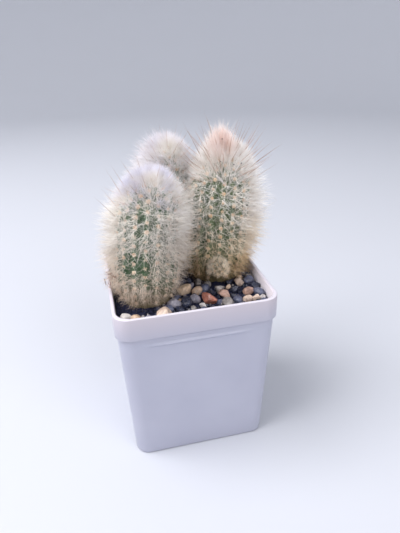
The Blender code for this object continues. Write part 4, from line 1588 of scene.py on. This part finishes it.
# the corners of each wisp, from its root to its tip, in mm
WISP_PATHS = (
    ((-26.8, -12.0, 74.0), (-28.4, -13.0, 76.0), (-30.6, -14.0, 77.8)),
    ((-26.6, -11.0, 73.5), (-28.2, -12.6, 75.6), (-29.4, -14.0, 73.2), (-29.0, -14.0, 70.0)),
    ((-26.6, -8.0, 72.5), (-28.6, -7.0, 72.0), (-31.2, -6.0, 70.6), (-31.0, -6.4, 67.6)),
    ((-26.6, -6.0, 72.5), (-27.9, -4.6, 71.4), (-30.6, -4.0, 72.6)),
)
WISP_FIBRES = 4
WISP_SPREAD = 0.5
STRAND_SEED = 61


def strand(bm, kinds, draw, root, tip):
    """Plant one strand between two ends in mm."""
    direction = (Vector(tip) - Vector(root)) * MM
    plant(bm, kinds, draw, Vector(root) * MM, direction, direction.length)


bm = new_hair_piece()
draw = random.Random(STRAND_SEED)
for root, tip in BRISTLE_ENDS:
    strand(bm, BRISTLES, draw, root, tip)
white_bristles = spine_finish("white_bristles", (255, 253, 248), (255, 254, 252), (255, 255, 255))
add_piece("bristles", bm, white_bristles, "stem_right")

bm = new_hair_piece()
for corners in WISP_PATHS:
    for _ in range(WISP_FIBRES):
        path = [[value + draw.gauss(0, WISP_SPREAD) for value in corner] for corner in corners]
        for root, tip in zip(path, path[1:]):
            strand(bm, WISPS, draw, root, tip)
dry_fibre = spine_finish("dry_fibre", (150, 112, 88), (132, 96, 78), (104, 78, 66))
add_piece("wisps", bm, dry_fibre, "stem_left")

# %% Crumbs in the wool
# places in mm
CAUGHT_CRUMBS = {
    "left": ((-14.3, -14.0, 104.2), (-13.9, -15.3, 103.7)),
    "right": ((17.1, 2.6, 117.2), (15.3, -1.0, 110.0), (19.6, -3.9, 109.1), (22.3, -4.2, 109.5)),
}
CAUGHT_RADIUS = 0.34 * MM
for name, places in CAUGHT_CRUMBS.items():
    bm = bmesh.new()
    new_layers(bm, "shade")
    for place in places:
        size = Matrix.Scale(CAUGHT_RADIUS * draw.uniform(0.8, 1.2), 4)
        drop_in(bm, draw.choice(grit_kinds), Matrix.Translation(Vector(place) * MM) @ size)
    add_piece("crumbs_" + name, bm, dark_soil, "stem_" + name, smooth_angle=30)

# %% [markdown]
# ## Fibres of the felt
#
# A pad alone reads as a bead, because its edge is sharp. Real felt has none: it ends in short fibres. More
# faces on the pad wouldn't help, but a few short, thick fibres out of each pad break its edge up.

# %% Fibres of the felt
FIBRES = hair_kinds(12, 0.16, 0.3, 0.0, 27, cuts=0)
FIBRE_COUNT = 16
FIBRE_LENGTHS = (0.8, 1.9)
FIBRE_LIFT = (0.15, 1.3)
felt_fibre = spine_finish("felt_fibre", (230, 200, 168), (245, 226, 202), (251, 241, 228))
for stem in STEMS:
    bm = new_hair_piece()
    draw = random.Random(stem.seed + 300)
    for areole in stem_areoles[stem.name]:
        for _ in range(FIBRE_COUNT):
            around, lift = draw.uniform(0, math.tau), draw.uniform(*FIBRE_LIFT)
            direction = ray(areole.angle, areole.normal, around, lift)
            plant(bm, FIBRES, draw, areole.root, direction, draw.uniform(*FIBRE_LENGTHS) * MM)
    add_piece("fibres_" + stem.name, bm, felt_fibre, "stem_" + stem.name)

# %% [markdown]
# ## Pup
#
# At the foot of the right stem a pup, a young offset, has just begun: a ball with its own low ribs, nearly
# hidden under cream down. A sphere gets its ribs from a cosine, as the stems do, and its areoles follow the
# golden angle from its top down.

# %% Pup
PUP_STRETCH = Vector((1.0, 1.0, 1.2))
PUP_RIBS = 11
PUP_RIB_DEPTH = 0.06
PUP_COLUMNS = 6
PUP_RINGS = 22
PUP_AREOLES = 32
PUP_SPAN = 1.35
PUP_FELT = (0.3, 0.45)
PUP_HAIRS = 200
PUP_LENGTHS = (1.2, 2.6)
PUP_LIFT = (0.1, 1.3)
PUP_RISE = 0.5
PUP_SEED = 71


def pup_point(direction, angle):
    """A point of the pup's skin in a direction from its middle."""
    ribs = 1 + PUP_RIB_DEPTH * math.cos(PUP_RIBS * angle) * direction.xy.length
    return PUP_CENTRE + direction * PUP_RADIUS * ribs * PUP_STRETCH


bm = bmesh.new()
bmesh.ops.create_uvsphere(bm, u_segments=PUP_RIBS * PUP_COLUMNS, v_segments=PUP_RINGS, radius=1.0)
for vert in bm.verts:
    vert.co = pup_point(vert.co.normalized(), math.atan2(vert.co.y, vert.co.x))
add_piece("pup_skin", bm, GREEN["pup"], "stem_right", smooth_angle=180)

felt, down = bmesh.new(), new_hair_piece()
new_layers(felt, "shade")
draw = random.Random(PUP_SEED)
for step in range(PUP_AREOLES):
    rise = 1 - PUP_SPAN * (step + 0.5) / PUP_AREOLES
    angle = step * GOLDEN_ANGLE
    flat = math.sqrt(1 - rise * rise)
    normal = Vector((math.cos(angle) * flat, math.sin(angle) * flat, rise))
    root = pup_point(normal, angle)
    set_felt(felt, pads, draw, root, normal, draw.uniform(*PUP_FELT) * MM)
    for _ in range(PUP_HAIRS):
        direction = ray(angle, normal, draw.uniform(0, math.tau), draw.uniform(*PUP_LIFT))
        direction.z += PUP_RISE * max(0.0, rise)
        plant_clear(down, SHORT_HAIRS, draw, RIGHT, root, direction, draw.uniform(*PUP_LENGTHS) * MM)
add_piece("pup_felt", felt, FELT["right"], "stem_right", smooth_angle=180)
pup_look = hair_finish(
    "hair_pup", ((64, colour(236, 206, 172)), (68, colour(255, 240, 218)), (72, colour(255, 246, 230))),
    colour(252, 230, 204), PUP_CENTRE, (1.0, 1.0, 1.0), colour(240, 220, 190),
)
add_piece("pup_down", down, pup_look, "stem_right")
